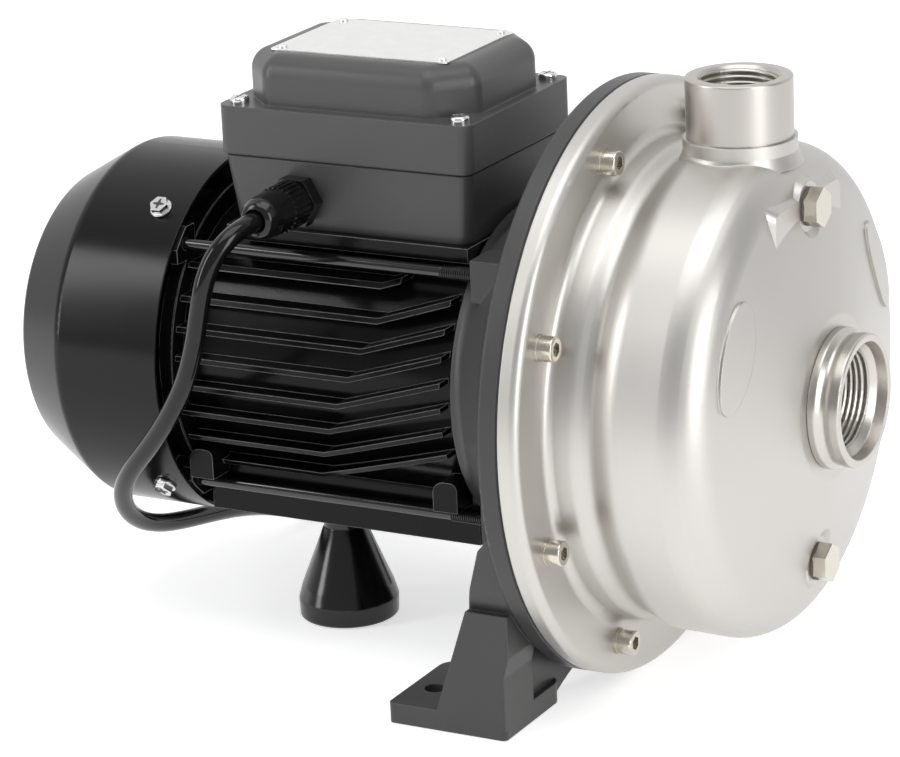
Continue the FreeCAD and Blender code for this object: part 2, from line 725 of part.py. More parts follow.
def impeller_nut():
    """Nut and washer that hold the impeller on the shaft."""
    washer = tube(HUB_FRONT, HUB_FRONT + 1.5, IMPELLER_HUB_RADIUS - 1.5, 5.0)
    nut = chamfered_hexagon(NUT_FLATS, NUT_HEIGHT, at(HUB_FRONT + 1.5), ALONG).cut(
        drum(HUB_FRONT, HUB_FRONT + NUT_HEIGHT + 3.0, 5.0))
    return group([washer, nut])


# Bracket

def bracket_body():
    """Turned form of the bracket: ring, register, bell, motor spigot and bearing housing."""
    bore = BEARING_OUTSIDE / 2
    bearing_front = FRONT_BEARING + BEARING_WIDTH
    return turned([
        (RING_FRONT, FLANGE_RADIUS, 0.6),
        (RING_REAR, FLANGE_RADIUS, 1.2),
        (RING_REAR, SCREW_CIRCLE - 0.5, 3.0),
        (BOSS_FRONT - 2.0, BELL_RADIUS + 13.0, 12.0),
        (BOSS_REAR - 4.0, BELL_RADIUS, 6.0),
        (BRACKET_REAR, BELL_RADIUS, 0.8),
        (BRACKET_REAR, STATOR_RADIUS),
        (BRACKET_REAR - SPIGOT_LENGTH, STATOR_RADIUS, 0.5),
        (BRACKET_REAR - SPIGOT_LENGTH, STATOR_RADIUS - 4.0, 0.5),
        (BRACKET_REAR + 1.0, STATOR_RADIUS - 4.0, 2.0),
        (BRACKET_REAR + 1.0, bore),
        (bearing_front, bore),
        (bearing_front, bore - 7.0),
        (bearing_front + 4.0, bore - 7.0),
        (bearing_front + 4.0, HOUSING_RADIUS, 2.0),
        (BRACKET_REAR + 1.0 + BRACKET_WALL, HOUSING_RADIUS + 3.0, 4.0),
        (BRACKET_REAR + 1.0 + BRACKET_WALL, BELL_RADIUS - 7.0, 5.0),
        (BOSS_FRONT - 2.0, BELL_RADIUS + 5.0, 10.0),
        (RING_REAR, RING_OPENING, 3.0),
        (REGISTER_FRONT, RING_OPENING),
        (REGISTER_FRONT, REGISTER_RADIUS, 0.5),
        (RING_FRONT, REGISTER_RADIUS),
    ])


def leg(side):
    """One leg: pad with its bolt hole, and an upright that leans out to the ring's edge."""
    front = PAD_REAR + PAD_LENGTH
    outer = FOOT_WIDTH / 2
    floor = -SHAFT_HEIGHT

    def plan(x, y):
        return at(x, side * y, floor)

    pad = rounded_face([(PAD_REAR, outer, 2.0), (front, outer, 2.0), (front, outer - PAD_WIDTH, 7.0),
                        (PAD_REAR, outer - PAD_WIDTH, 7.0)], plan).extrude(V(0, 0, PAD_THICKNESS))
    rear = PAD_REAR + LEG_REAR
    profile = [(rear, floor + PAD_THICKNESS / 2), (PAD_REAR + LEG_FOLD_REAR, floor + LEG_FOLD_HEIGHT, 12.0),
               (RING_REAR - 7.0, floor + 82.0), (RING_REAR + 0.5, floor + 90.0),
               (RING_REAR + 0.5, floor + 40.0), (front, floor + 26.0, 4.0), (front, floor + PAD_THICKNESS / 2)]
    upright = rounded_face(profile, lambda x, z: at(x, -130.0, z)).extrude(V(0, 260.0, 0))
    fold = floor + LEG_FOLD_HEIGHT
    lean = 12.0
    face = [(side * (outer - LEG_WIDTH), floor + PAD_THICKNESS / 2), (side * outer, floor + PAD_THICKNESS / 2),
            (side * outer, fold, 10.0), (side * (outer + lean), floor + 88.0), (side * (outer - 22.0), floor + 92.0)]
    across = rounded_face(face, lambda y, z: at(PAD_REAR, y, z)).extrude(V(PAD_LENGTH + 10.0, 0, 0))
    column = upright.common(across).common(drum(PAD_REAR, 0.0, FLANGE_RADIUS - 0.8).fuse(
        block(PAD_REAR, RING_REAR - 1.0, -outer, outer, floor, fold)))
    hole = Part.makeCylinder(FOOT_HOLE_RADIUS, PAD_THICKNESS + 2.0,
                             V(0, side * FOOT_BOLT_SPACING / 2, -1.0), UP)
    return joined([pad, column]).cut(hole)


def foot_web():
    """Thin wall between the legs, arched underneath and joined to the bell and ring."""
    front = PAD_REAR + PAD_LENGTH - WEB_SETBACK
    floor = -SHAFT_HEIGHT
    inner = FOOT_WIDTH / 2 - PAD_WIDTH
    edge = FOOT_WIDTH / 2 - LEG_WIDTH
    top = floor + 62.0
    left = at(front, -inner, floor + ARCH_START)
    crown = at(front, 0, floor + ARCH_RISE)
    right = at(front, inner, floor + ARCH_START)
    edges = [Part.Arc(left, crown, right).toShape()]
    line = [right, at(front, edge + 2.0, floor + PAD_THICKNESS / 2), at(front, edge + 2.0, top),
            at(front, -edge - 2.0, top), at(front, -edge - 2.0, floor + PAD_THICKNESS / 2), left]
    for start, end in zip(line, line[1:]):
        edges.append(Part.LineSegment(start, end).toShape())
    wall = Part.Face(Part.Wire(edges)).extrude(V(-WEB_THICKNESS, 0, 0))
    keep_out = turned([(BOSS_REAR, 0.0), (BOSS_REAR, BELL_RADIUS - 7.0), (BOSS_FRONT - 2.0, BELL_RADIUS + 7.0),
                       (RING_REAR + 1.0, RING_OPENING + 2.0), (RING_REAR + 1.0, 0.0)])
    rear_of_ring = block(front, RING_REAR + 0.5, -inner, inner, floor + ARCH_RISE + 6.0, top)
    return joined([wall, rear_of_ring]).cut(keep_out)


def bracket():
    """Cast bracket with its two legs, tie-rod bosses and tapped holes."""
    pieces = [bracket_body(), leg(1), leg(-1), foot_web()]
    half = BOSS_SIDE / 2
    keep_out = turned([(BOSS_REAR - 4.0, 0.0), (BOSS_REAR - 4.0, BELL_RADIUS - 7.0),
                       (BOSS_FRONT - 2.0, BELL_RADIUS + 7.0), (RING_REAR, RING_OPENING), (RING_REAR, 0.0)])
    for y, z in rod_places():
        boss = block(BOSS_REAR, BOSS_FRONT, y - half, y + half, z - half, z + half)
        pieces.append(boss.cut(keep_out))
    body = joined(pieces)
    for y, z in rod_places():
        body = body.cut(drum(BOSS_REAR - 1.0, BOSS_REAR + TAPPED_DEPTH, ROD_RADIUS, y, z))
    for y, z in screw_places():
        body = body.cut(drum(RING_REAR - 1.0, REGISTER_FRONT + 1.0, SCREW_RADIUS, y, z))
    return body


def rod_places():
    """Centres of the four tie rods across the shaft."""
    places = []
    for y in (-ROD_OFFSET, ROD_OFFSET):
        for z in (-ROD_OFFSET, ROD_OFFSET):
            places.append((y, z))
    return places


# Shaft and bearings

def motor_shaft():
    """Stepped shaft from the fan to the impeller."""
    seal_front = PLATE_DEPTH - 2.0
    front_seat = FRONT_BEARING + BEARING_WIDTH
    shaft = turned([
        (FAN_BACK + 4.0, 0.0), (FAN_BACK + 4.0, SHAFT_RADIUS - 2.0, 0.6),
        (REAR_BEARING - 1.0, SHAFT_RADIUS - 2.0), (REAR_BEARING - 1.0, SHAFT_RADIUS),
        (REAR_BEARING + BEARING_WIDTH, SHAFT_RADIUS), (REAR_BEARING + BEARING_WIDTH, ROTOR_SHAFT_RADIUS),
        (FRONT_BEARING, ROTOR_SHAFT_RADIUS), (FRONT_BEARING, SHAFT_RADIUS),
        (front_seat + 8.0, SHAFT_RADIUS, 0.5), (front_seat + 12.0, SHAFT_WET_RADIUS),
        (HUB_FRONT, SHAFT_WET_RADIUS), (HUB_FRONT, 5.0),
        (HUB_FRONT + NUT_HEIGHT + 4.0, 5.0, 0.8), (HUB_FRONT + NUT_HEIGHT + 4.0, 0.0),
    ])
    keyway = Part.makeBox(KEY_LENGTH, KEY_WIDTH, KEY_HEIGHT,
                          at(HUB_FRONT - KEY_LENGTH - 1.0, -KEY_WIDTH / 2, SHAFT_WET_RADIUS - KEY_HEIGHT / 2))
    groove = tube(FAN_BACK + 6.0, FAN_BACK + 7.2, SHAFT_RADIUS, SHAFT_RADIUS - 2.8)
    return shaft.cut(keyway).cut(groove)


def slinger():
    """Rubber ring on the shaft that throws water off before the bearing."""
    start = FRONT_BEARING + BEARING_WIDTH + 5.0
    return turned([(start, SHAFT_RADIUS), (start, SHAFT_RADIUS + 6.0, 0.5), (start + 1.5, SHAFT_RADIUS + 6.0, 0.5),
                   (start + 2.5, SHAFT_RADIUS + 2.5, 0.5), (start + 3.0, SHAFT_RADIUS + 2.5),
                   (start + 3.0, SHAFT_RADIUS)])


def ball_groove(x):
    """Ring-shaped groove that the balls run in."""
    pitch = (BEARING_BORE + BEARING_OUTSIDE) / 4
    return Part.makeTorus(pitch, BALL_RADIUS + BALL_CLEARANCE, at(x + BEARING_WIDTH / 2), ALONG)


def bearing_outer(x):
    """Outer ring of a ball bearing."""
    return tube(x, x + BEARING_WIDTH, BEARING_OUTSIDE / 2, BEARING_OUTSIDE / 2 - 3.6).cut(ball_groove(x))


def bearing_inner(x):
    """Inner ring of a ball bearing."""
    return tube(x, x + BEARING_WIDTH, BEARING_BORE / 2 + 3.4, BEARING_BORE / 2).cut(ball_groove(x))


def bearing_balls(x):
    """Balls and the cage that spaces them."""
    pitch = (BEARING_BORE + BEARING_OUTSIDE) / 4
    middle = x + BEARING_WIDTH / 2
    cage = tube(middle - 4.2, middle + 4.2, pitch + 0.9, pitch - 0.9)
    solids = []
    for i in range(BALL_COUNT):
        y, z = on_circle(pitch, 360.0 * i / BALL_COUNT)
        cage = cage.cut(Part.makeSphere(BALL_RADIUS + 0.05, at(middle, y, z)))
        solids.append(Part.makeSphere(BALL_RADIUS, at(middle, y, z)))
    return group([cage] + solids)


def wave_spring():
    """Spring washer behind the rear bearing, waved three times round."""
    start = REAR_BEARING - 1.9
    return tube(start, start + 1.8, BEARING_OUTSIDE / 2 - 0.6, BEARING_OUTSIDE / 2 - 4.0)


# Motor

def rotor_core():
    """Laminated rotor with its end rings."""
    rear = STATOR_FRONT - STATOR_LENGTH
    return turned([(rear - 6.0, ROTOR_SHAFT_RADIUS), (rear - 6.0, 24.0), (rear - 6.0, STATOR_BORE - 3.0, 1.0),
                   (rear, STATOR_BORE - 3.0), (rear, STATOR_BORE - RUNNING_GAP),
                   (STATOR_FRONT, STATOR_BORE - RUNNING_GAP), (STATOR_FRONT, STATOR_BORE - 3.0),
                   (STATOR_FRONT + 6.0, STATOR_BORE - 3.0, 1.0), (STATOR_FRONT + 6.0, ROTOR_SHAFT_RADIUS)])


def stator_core():
    """Laminated stator pressed in the frame."""
    return tube(STATOR_FRONT - STATOR_LENGTH, STATOR_FRONT, STATOR_RADIUS, STATOR_BORE)


def stator_winding():
    """Copper end turns at both ends of the stator."""
    rear = STATOR_FRONT - STATOR_LENGTH
    rings = []
    for start, end in ((rear - WINDING_OVERHANG, rear), (STATOR_FRONT, STATOR_FRONT + WINDING_OVERHANG)):
        rings.append(turned([(start, STATOR_BORE + 4.0, 3.0), (start, STATOR_RADIUS - 6.0, 4.0),
                             (end, STATOR_RADIUS - 6.0, 3.0), (end, STATOR_BORE + 4.0, 3.0)]))
    return group(rings)


def kink_place(level):
    """Where a fin starts to sweep upwards: the lower the fin, the further back."""
    if level == FIN_LEVELS[0]:
        return TOP_FIN_FRONT - TOP_FIN_SWEPT
    return KINK_TOP_X - KINK_SLOPE * (FIN_LEVELS[1] - level)


def fin(level):
    """One fin seen from the side: straight at the rear, swept upwards at the front."""
    half = FIN_THICKNESS / 2
    kink = kink_place(level)
    front = TOP_FIN_FRONT if level == FIN_LEVELS[0] else FIN_FRONT
    rise = math.tan(math.radians(FIN_SWEEP)) * (front - kink)
    corners = [(FIN_REAR, level - half), (kink, level - half), (front, level + rise - half),
               (front, level + rise + half), (kink, level + half), (FIN_REAR, level + half)]
    return rounded_face(corners, lambda x, z: at(x, -FIN_RADIUS, z)).extrude(V(0, 2 * FIN_RADIUS, 0))


def motor_frame():
    """Cast frame: barrel, fins on both sides, platform for the box and flat rail underneath."""
    front = BRACKET_REAR
    barrel = drum(FRAME_REAR, front, FRAME_RADIUS)
    limit = drum(FIN_REAR, FIN_FRONT, FIN_RADIUS)
    fins = [fin(level).common(limit) for level in FIN_LEVELS]
    platform = block(BOX_REAR + 2.0, front - 0.5, -PLATFORM_HALF_WIDTH, PLATFORM_HALF_WIDTH,
                     PLATFORM_TOP - PLATFORM_THICKNESS, PLATFORM_TOP)
    neck = block(BOX_REAR + 6.0, front - 4.0, -32.0, 32.0, 40.0, PLATFORM_TOP - 1.0)
    rail = block(FRAME_REAR + 1.0, front - 1.0, -RAIL_HALF_WIDTH, RAIL_HALF_WIDTH, -RAIL_BOTTOM, -RAIL_TOP)
    rail_core = block(FRAME_REAR + 3.0, front - 3.0, -36.0, 36.0, -RAIL_TOP - 1.0, -36.0)
    lugs = []
    for side in (-1, 1):
        for start in (FRAME_REAR + 1.0, front - 13.0):
            outline = [(start, -46.5), (start + 11.0, -46.5), (start + 11.0, -34.0, 3.0), (start, -34.0, 5.0)]
            lug = rounded_face(outline, lambda x, z: at(x, side * 47.0, z))
            lugs.append(lug.extrude(V(0, side * 13.0, 0)))
    body = joined([barrel, platform, neck, rail, rail_core] + fins + lugs)
    body = body.cut(drum(FRAME_REAR - 1.0, front + 1.0, STATOR_RADIUS))
    return body.cut(Part.makeCylinder(CONE_SCREW_RADIUS, 30.0, at(CONE_X, 0, -RAIL_BOTTOM - 1.0), UP))


def rear_shield():
    """End shield with the rear bearing housing, rod ears and fan-cover lugs."""
    bore = BEARING_OUTSIDE / 2
    outer_end = REAR_BEARING - 2.0
    body = turned([
        (FRAME_REAR, SHIELD_RADIUS, 0.5), (FRAME_REAR - SHIELD_THICKNESS, SHIELD_RADIUS, 2.0),
        (FRAME_REAR - SHIELD_THICKNESS - 1.0, HOUSING_RADIUS + 2.0, 3.0),
        (outer_end - 4.0, HOUSING_RADIUS, 2.0), (outer_end - 4.0, bore - 8.0),
        (outer_end, bore - 8.0), (outer_end, bore), (REAR_BEARING + BEARING_WIDTH, bore),
        (REAR_BEARING + BEARING_WIDTH, HOUSING_RADIUS, 1.0), (FRAME_REAR + 0.0, HOUSING_RADIUS + 2.0),
        (FRAME_REAR, STATOR_RADIUS - 4.0), (FRAME_REAR + SPIGOT_LENGTH, STATOR_RADIUS - 4.0),
        (FRAME_REAR + SPIGOT_LENGTH, STATOR_RADIUS), (FRAME_REAR, STATOR_RADIUS),
    ])
    half = EAR_SIDE / 2
    pieces = [body]
    inside_cover = drum(COVER_BACK, FRAME_REAR + 1.0, COVER_RADIUS - COVER_SHEET)
    for y, z in rod_places():
        ear = block(FRAME_REAR - EAR_THICKNESS, FRAME_REAR, y - half, y + half, z - half, z + half)
        pieces.append(ear.common(inside_cover))
    for angle in COVER_SCREW_ANGLES:
        root = block(COVER_SCREW_X - 5.0, FRAME_REAR - 2.0, -6.0, 6.0, STATOR_RADIUS, SHIELD_RADIUS - 0.8)
        tip = block(COVER_SCREW_X - 5.0, ROD_END - 0.6, -6.0, 6.0, SHIELD_RADIUS - 2.0, COVER_RADIUS + 5.0)
        lug = root.fuse(tip)
        lug.rotate(AXIS, ALONG, angle)
        pieces.append(lug.common(inside_cover))
    body = joined(pieces)
    for y, z in rod_places():
        recess = drum(ROD_END - 0.5, FRAME_REAR - EAR_THICKNESS, ROD_NUT_FLATS * 0.7, y, z)
        body = body.cut(recess)
    for y, z in rod_places():
        body = body.cut(drum(ROD_END - 1.0, FRAME_REAR + 1.0, ROD_RADIUS + 0.2, y, z))
    for angle in COVER_SCREW_ANGLES:
        y, z = on_circle(1.0, -angle)
        start = at(COVER_SCREW_X, y * 60.0, z * 60.0)
        body = body.cut(Part.makeCylinder(COVER_SCREW_RADIUS, 20.0, start, V(0, y, z)))
    return body


def tie_rod(y, z):
    """Long threaded rod from the rear shield to the bracket."""
    return drum(ROD_END, BOSS_REAR + TAPPED_DEPTH - 1.0, ROD_RADIUS, y, z)


def tie_rod_nut(y, z):
    """Nut at the rear end of a tie rod."""
    base = at(FRAME_REAR - EAR_THICKNESS, y, z)
    nut = chamfered_hexagon(ROD_NUT_FLATS, ROD_NUT_HEIGHT, base, V(-1, 0, 0))
    return nut.cut(drum(ROD_END, FRAME_REAR, ROD_RADIUS, y, z))


# Fan and cover

def cooling_fan():
    """Plastic fan with straight blades on a disc."""
    hub = tube(FAN_BACK + 8.0, FAN_FRONT + 4.0, 13.0, SHAFT_RADIUS - 2.0)
    disc = tube(FAN_FRONT, FAN_FRONT + 3.0, FAN_RADIUS - 6.0, SHAFT_RADIUS - 2.0)
    pieces = [hub, disc]
    for i in range(FAN_BLADES):
        blade = block(FAN_BACK + 8.0, FAN_FRONT + 1.0, -1.2, 1.2, 12.0, FAN_RADIUS)
        blade.rotate(AXIS, ALONG, 360.0 * i / FAN_BLADES)
        pieces.append(blade)
    return joined(pieces)


def fan_circlip():
    """Snap ring in the shaft groove behind the fan."""
    ring = tube(FAN_BACK + 6.0, FAN_BACK + 7.2, SHAFT_RADIUS + 1.0, SHAFT_RADIUS - 2.8)
    return ring.cut(block(FAN_BACK + 5.0, FAN_BACK + 8.0, -2.5, 2.5, 0.0, 20.0))


def fan_cover():
    """Sheet cover: cylinder, cone and flat back with an air grille."""
    path = [(COVER_OPEN, COVER_RADIUS, 0), (COVER_CREASE, COVER_RADIUS, 6.0),
            (COVER_BACK, COVER_BACK_RADIUS, 5.0), (COVER_BACK, 0.0, 0)]
    shell = turned(sheet_outline(path, COVER_SHEET))
    for radius in GRILLE_RINGS:
        ring = tube(COVER_BACK - 1.0, COVER_BACK + COVER_SHEET + 1.0, radius + GRILLE_SLOT / 2,
                    radius - GRILLE_SLOT / 2)
        for i in range(4):
            bridge = block(COVER_BACK - 2.0, COVER_BACK + 4.0, -3.5, 3.5, 8.0, COVER_BACK_RADIUS)
            bridge.rotate(AXIS, ALONG, 90.0 * i + 45.0)
            ring = ring.cut(bridge)
        shell = shell.cut(ring)
    for angle in COVER_SCREW_ANGLES:
        y, z = on_circle(1.0, -angle)
        start = at(COVER_SCREW_X, y * 70.0, z * 70.0)
        shell = shell.cut(Part.makeCylinder(COVER_SCREW_RADIUS + 0.3, 12.0, start, V(0, y, z)))
    return shell


def fan_cover_screw(angle):
    """Flanged hex screw that holds the fan cover."""
    y, z = on_circle(1.0, -angle)
    outward = V(0, y, z)
    seat = at(COVER_SCREW_X, y * (COVER_RADIUS + 0.2), z * (COVER_RADIUS + 0.2))
    flange = Part.makeCylinder(COVER_SCREW_FLANGE, 0.9, seat, outward)
    head = chamfered_hexagon(7.0, 3.6, seat, outward)
    shank = Part.makeCylinder(COVER_SCREW_RADIUS, 12.0, seat - outward * 12.0, outward)
    return joined([flange, head, shank])


# Terminal box

def box_plan(inset, radius):
    """Plan of the terminal box, drawn in by an inset, with rounded corners."""
    front = BOX_FRONT - inset
    rear = BOX_REAR + inset
    half = BOX_HALF_WIDTH - inset
    return [(rear, -half, radius), (front, -half, radius), (front, half, radius), (rear, half, radius)]


def box_block(inset, radius, low, high):
    """Block with the box's plan between two heights."""
    face = rounded_face(box_plan(inset, radius), lambda x, y: at(x, y, low))
    return face.extrude(V(0, 0, high - low))


def box_screw_places():
    """Centres of the lid screws in plan."""
    half = BOX_HALF_WIDTH - BOX_SCREW_INSET
    places = []
    for x in (BOX_REAR + BOX_SCREW_INSET, BOX_FRONT - BOX_SCREW_INSET):
        for y in (-half, half):
            places.append((x, y))
    return places


def box_base():
    """Lower half of the terminal box, slightly narrower at its foot."""
    top = SEAM_HEIGHT - BOX_GASKET
    outer_low = rounded_face(box_plan(4.0, 5.0), lambda x, y: at(x, y, PLATFORM_TOP))
    outer_high = rounded_face(box_plan(1.0, 5.0), lambda x, y: at(x, y, top))
    outer = Part.makeLoft([outer_low.OuterWire, outer_high.OuterWire], True)
    inner = box_block(4.0 + BOX_WALL, 3.0, PLATFORM_TOP + BOX_WALL, top + 1.0)
    base = outer.cut(inner)
    posts = []
    for x, y in box_screw_places():
        post = Part.makeCylinder(4.5, top - PLATFORM_TOP, at(x, y, PLATFORM_TOP), UP)
        posts.append(post.common(outer))
    base = joined([base] + posts)
    for x, y in box_screw_places():
        base = base.cut(Part.makeCylinder(2.0, 16.0, at(x, y, top - 15.0), UP))
    hole = Part.makeCylinder(GLAND_THREAD_RADIUS, 20.0, at(GLAND_X, -BOX_HALF_WIDTH - 5.0, GLAND_Z), V(0, 1, 0))
    return base.cut(hole)


def box_gasket():
    """Gasket between base and lid."""
    low = SEAM_HEIGHT - BOX_GASKET
    ring = box_block(1.5, 4.5, low, SEAM_HEIGHT).cut(box_block(5.0, 3.0, low - 1.0, SEAM_HEIGHT + 1.0))
    for x, y in box_screw_places():
        ring = ring.cut(Part.makeCylinder(2.5, 4.0, at(x, y, low - 1.0), UP))
    return ring


def crown_block(inset, low, high):
    """Raised middle of the lid: the plan with its four corners cut off for the screws."""
    front = BOX_FRONT - inset
    rear = BOX_REAR + inset
    half = BOX_HALF_WIDTH - inset
    cut = CORNER_RELIEF - inset * 0.4
    corners = []
    for x, y, first in ((rear, -half, "y"), (front, -half, "x"), (front, half, "y"), (rear, half, "x")):
        inward_x = cut if x == rear else -cut
        inward_y = cut if y < 0 else -cut
        along_y = (x, y + inward_y, 7.0)
        along_x = (x + inward_x, y, 7.0)
        corners += [along_y, along_x] if first == "y" else [along_x, along_y]
    face = rounded_face(corners, lambda x, y: at(x, y, low))
    return face.extrude(V(0, 0, high - low))


def box_lid():
    """Lid with a skirt and a raised, rounded crown."""
    skirt = box_block(0.0, 5.0, SEAM_HEIGHT, SKIRT_TOP)
    crown = crown_block(CROWN_INSET - 3.0, SKIRT_TOP - 2.0, LID_TOP)
    top_edges = []
    for edge in crown.Edges:
        if edge.BoundBox.ZMin > SHAFT_HEIGHT + LID_TOP - 0.01:
            top_edges.append(edge)
    crown = crown.makeFillet(9.0, top_edges)
    lid = joined([skirt, crown])
    hollow = crown_block(CROWN_INSET, SEAM_HEIGHT + BOX_WALL, LID_TOP - BOX_WALL - 1.0)
    inner = box_block(BOX_WALL, 3.0, SEAM_HEIGHT - 1.0, SKIRT_TOP - BOX_WALL)
    for x, y in box_screw_places():
        inner = inner.cut(Part.makeCylinder(4.5, 60.0, at(x, y, SEAM_HEIGHT - 2.0), UP))
    lid = lid.cut(hollow).cut(inner)
    for x, y in box_screw_places():
        lid = lid.cut(Part.makeCylinder(2.3, 40.0, at(x, y, SEAM_HEIGHT - 2.0), UP))
    return lid


def box_lid_screw(x, y):
    """Pan-head screw that holds the lid."""
    seat = at(x, y, SKIRT_TOP)
    head_profile = [(0.0, 0.0), (3.9, 0.0), (3.9, 2.6, 1.8), (0.0, 2.6)]
    head = rounded_face(head_profile, lambda r, h: V(seat.x + r, seat.y, seat.z + h)).revolve(seat, UP, 360)
    slots = [Part.makeBox(6.0, 0.8, 2.0, V(seat.x - 3.0, seat.y - 0.4, seat.z + 1.2)),
             Part.makeBox(0.8, 6.0, 2.0, V(seat.x - 0.4, seat.y - 3.0, seat.z + 1.2))]
    length = SKIRT_TOP - SEAM_HEIGHT + 12.0
    shank = Part.makeCylinder(2.0, length, V(seat.x, seat.y, seat.z - length), UP)
    return joined([head, shank]).cut(slots[0]).cut(slots[1])


def plate_corners():
    """Centres of the rating plate's rivets."""
    middle = (BOX_FRONT + BOX_REAR) / 2
    places = []
    for x in (middle - PLATE_LENGTH / 2 + 4.0, middle + PLATE_LENGTH / 2 - 4.0):
        for y in (-PLATE_WIDTH / 2 + 4.0, PLATE_WIDTH / 2 - 4.0):
            places.append((x, y))
    return places


def rating_plate():
    """Bare metal plate on the lid."""
    middle = (BOX_FRONT + BOX_REAR) / 2
    half_length = PLATE_LENGTH / 2
    half_width = PLATE_WIDTH / 2
    corners = [(middle - half_length, -half_width, 2.0), (middle + half_length, -half_width, 2.0),
               (middle + half_length, half_width, 2.0), (middle - half_length, half_width, 2.0)]
    plate = rounded_face(corners, lambda x, y: at(x, y, LID_TOP)).extrude(V(0, 0, RATING_PLATE))
    for x, y in plate_corners():
        plate = plate.cut(Part.makeCylinder(1.0, 3.0, at(x, y, LID_TOP - 1.0), UP))
    return plate


def plate_rivet(x, y):
    """Small round-headed rivet through the rating plate."""
    profile = [(0.0, 0.0), (1.9, 0.0), (1.9, 0.9, 0.8), (0.0, 0.9)]
    base = at(x, y, LID_TOP + RATING_PLATE)
    head = rounded_face(profile, lambda r, h: V(base.x + r, base.y, base.z + h)).revolve(base, UP, 360)
    return head.fuse(Part.makeCylinder(1.0, RATING_PLATE, at(x, y, LID_TOP), UP))


def terminal_block():
    """Insulating strip with its terminal screws, inside the box."""
    low = PLATFORM_TOP + BOX_WALL
    body = block(-98.0, -62.0, -9.0, 9.0, low, low + 12.0)
    for i in range(3):
        centre = at(-92.0 + 12.0 * i, 0, low + 7.0)
        body = body.cut(Part.makeCylinder(3.0, 8.0, centre, UP))
    return body


def run_capacitor():
    """Round capacitor lying in the box."""
    low = PLATFORM_TOP + BOX_WALL
    start = BOX_REAR + CAPACITOR_RADIUS
    end = start + CAPACITOR_LENGTH
    y = BOX_HALF_WIDTH - BOX_WALL - CAPACITOR_RADIUS - 6.0
    can = drum(start, end, CAPACITOR_RADIUS, y, low + CAPACITOR_RADIUS)
    stud = drum(end, end + 4.0, CAPACITOR_RADIUS / 3, y, low + CAPACITOR_RADIUS)
    return joined([can, stud])


# Cable gland

SEAL_END = -LEAD_ROUTE[0][1] - BOX_HALF_WIDTH + 1.5


def gland_place(depth):
    """Point on the gland's axis, this far out of the box wall."""
    return at(GLAND_X, -BOX_HALF_WIDTH + 1.5 - depth, GLAND_Z)


def gland_body():
    """Hexagon with the thread that goes through the box wall."""
    outward = V(0, -1, 0)
    hexa = hexagon(GLAND_FLATS, GLAND_HEX, gland_place(0.6), outward)
    thread = Part.makeCylinder(GLAND_THREAD_RADIUS, 9.0, gland_place(-8.4), outward)
    barrel = Part.makeCylinder(GLAND_NUT_RADIUS - 2.4, GLAND_NUT - 1.0, gland_place(0.6 + GLAND_HEX), outward)
    body = joined([hexa, thread, barrel])
    return body.cut(Part.makeCylinder(GLAND_BORE, 60.0, gland_place(-20.0), outward))


def gland_nut():
    """Ribbed nut with a domed end."""
    start = 0.6 + GLAND_HEX
    base = gland_place(start)
    total = GLAND_NUT + GLAND_DOME
    seal_end = -LEAD_ROUTE[0][1] + base.y + 0.3
    round_start = total - GLAND_ROUND
    mouth = CORD_RADIUS + 1.0
    profile = [(CORD_RADIUS + 0.3, seal_end), (GLAND_BORE + 0.2, seal_end), (GLAND_BORE + 0.2, GLAND_NUT),
               (GLAND_NUT_RADIUS - 2.2, GLAND_NUT), (GLAND_NUT_RADIUS - 2.2, 0.0),
               (GLAND_NUT_RADIUS - 0.6, 0.0), (GLAND_NUT_RADIUS - 0.6, GLAND_NUT - 1.0, 0.8),
               (GLAND_DOME_RADIUS, GLAND_NUT), (GLAND_DOME_RADIUS, round_start, 8.0)]
    for share in (0.35, 0.7):
        angle = math.radians(90.0 * share)
        radius = mouth + (GLAND_DOME_RADIUS - mouth) * math.cos(angle)
        profile.append((radius, round_start + GLAND_ROUND * math.sin(angle), 4.0))
    profile += [(mouth, total, 0.5), (CORD_RADIUS + 0.3, total - 0.7)]
    face = rounded_face(profile, lambda r, h: V(base.x + r, base.y - h, base.z))
    nut = face.revolve(base, V(0, -1, 0), 360)
    ribs = []
    for i in range(GLAND_RIBS):
        rib = Part.makeBox(1.5, GLAND_NUT - 2.0, 1.0, V(GLAND_NUT_RADIUS - 1.5, -GLAND_NUT + 1.0, -0.5))
        rib.rotate(V(0, 0, 0), V(0, 1, 0), 360.0 * i / GLAND_RIBS)
        rib.translate(base)
        ribs.append(rib)
    return joined([nut] + ribs)


def gland_seal():
    """Rubber insert that grips the cord inside the gland."""
    return Part.makeCylinder(GLAND_BORE, SEAL_END - 6.0, gland_place(6.0), V(0, -1, 0))


def gland_locknut():
    """Nut inside the box."""
    outward = V(0, -1, 0)
    inner_wall = 4.0 + BOX_WALL - 1.5
    nut = hexagon(GLAND_FLATS, 3.0, gland_place(-inner_wall - 3.0), outward)
    return nut.cut(Part.makeCylinder(GLAND_THREAD_RADIUS, 12.0, gland_place(-12.0), outward))


# Mains lead

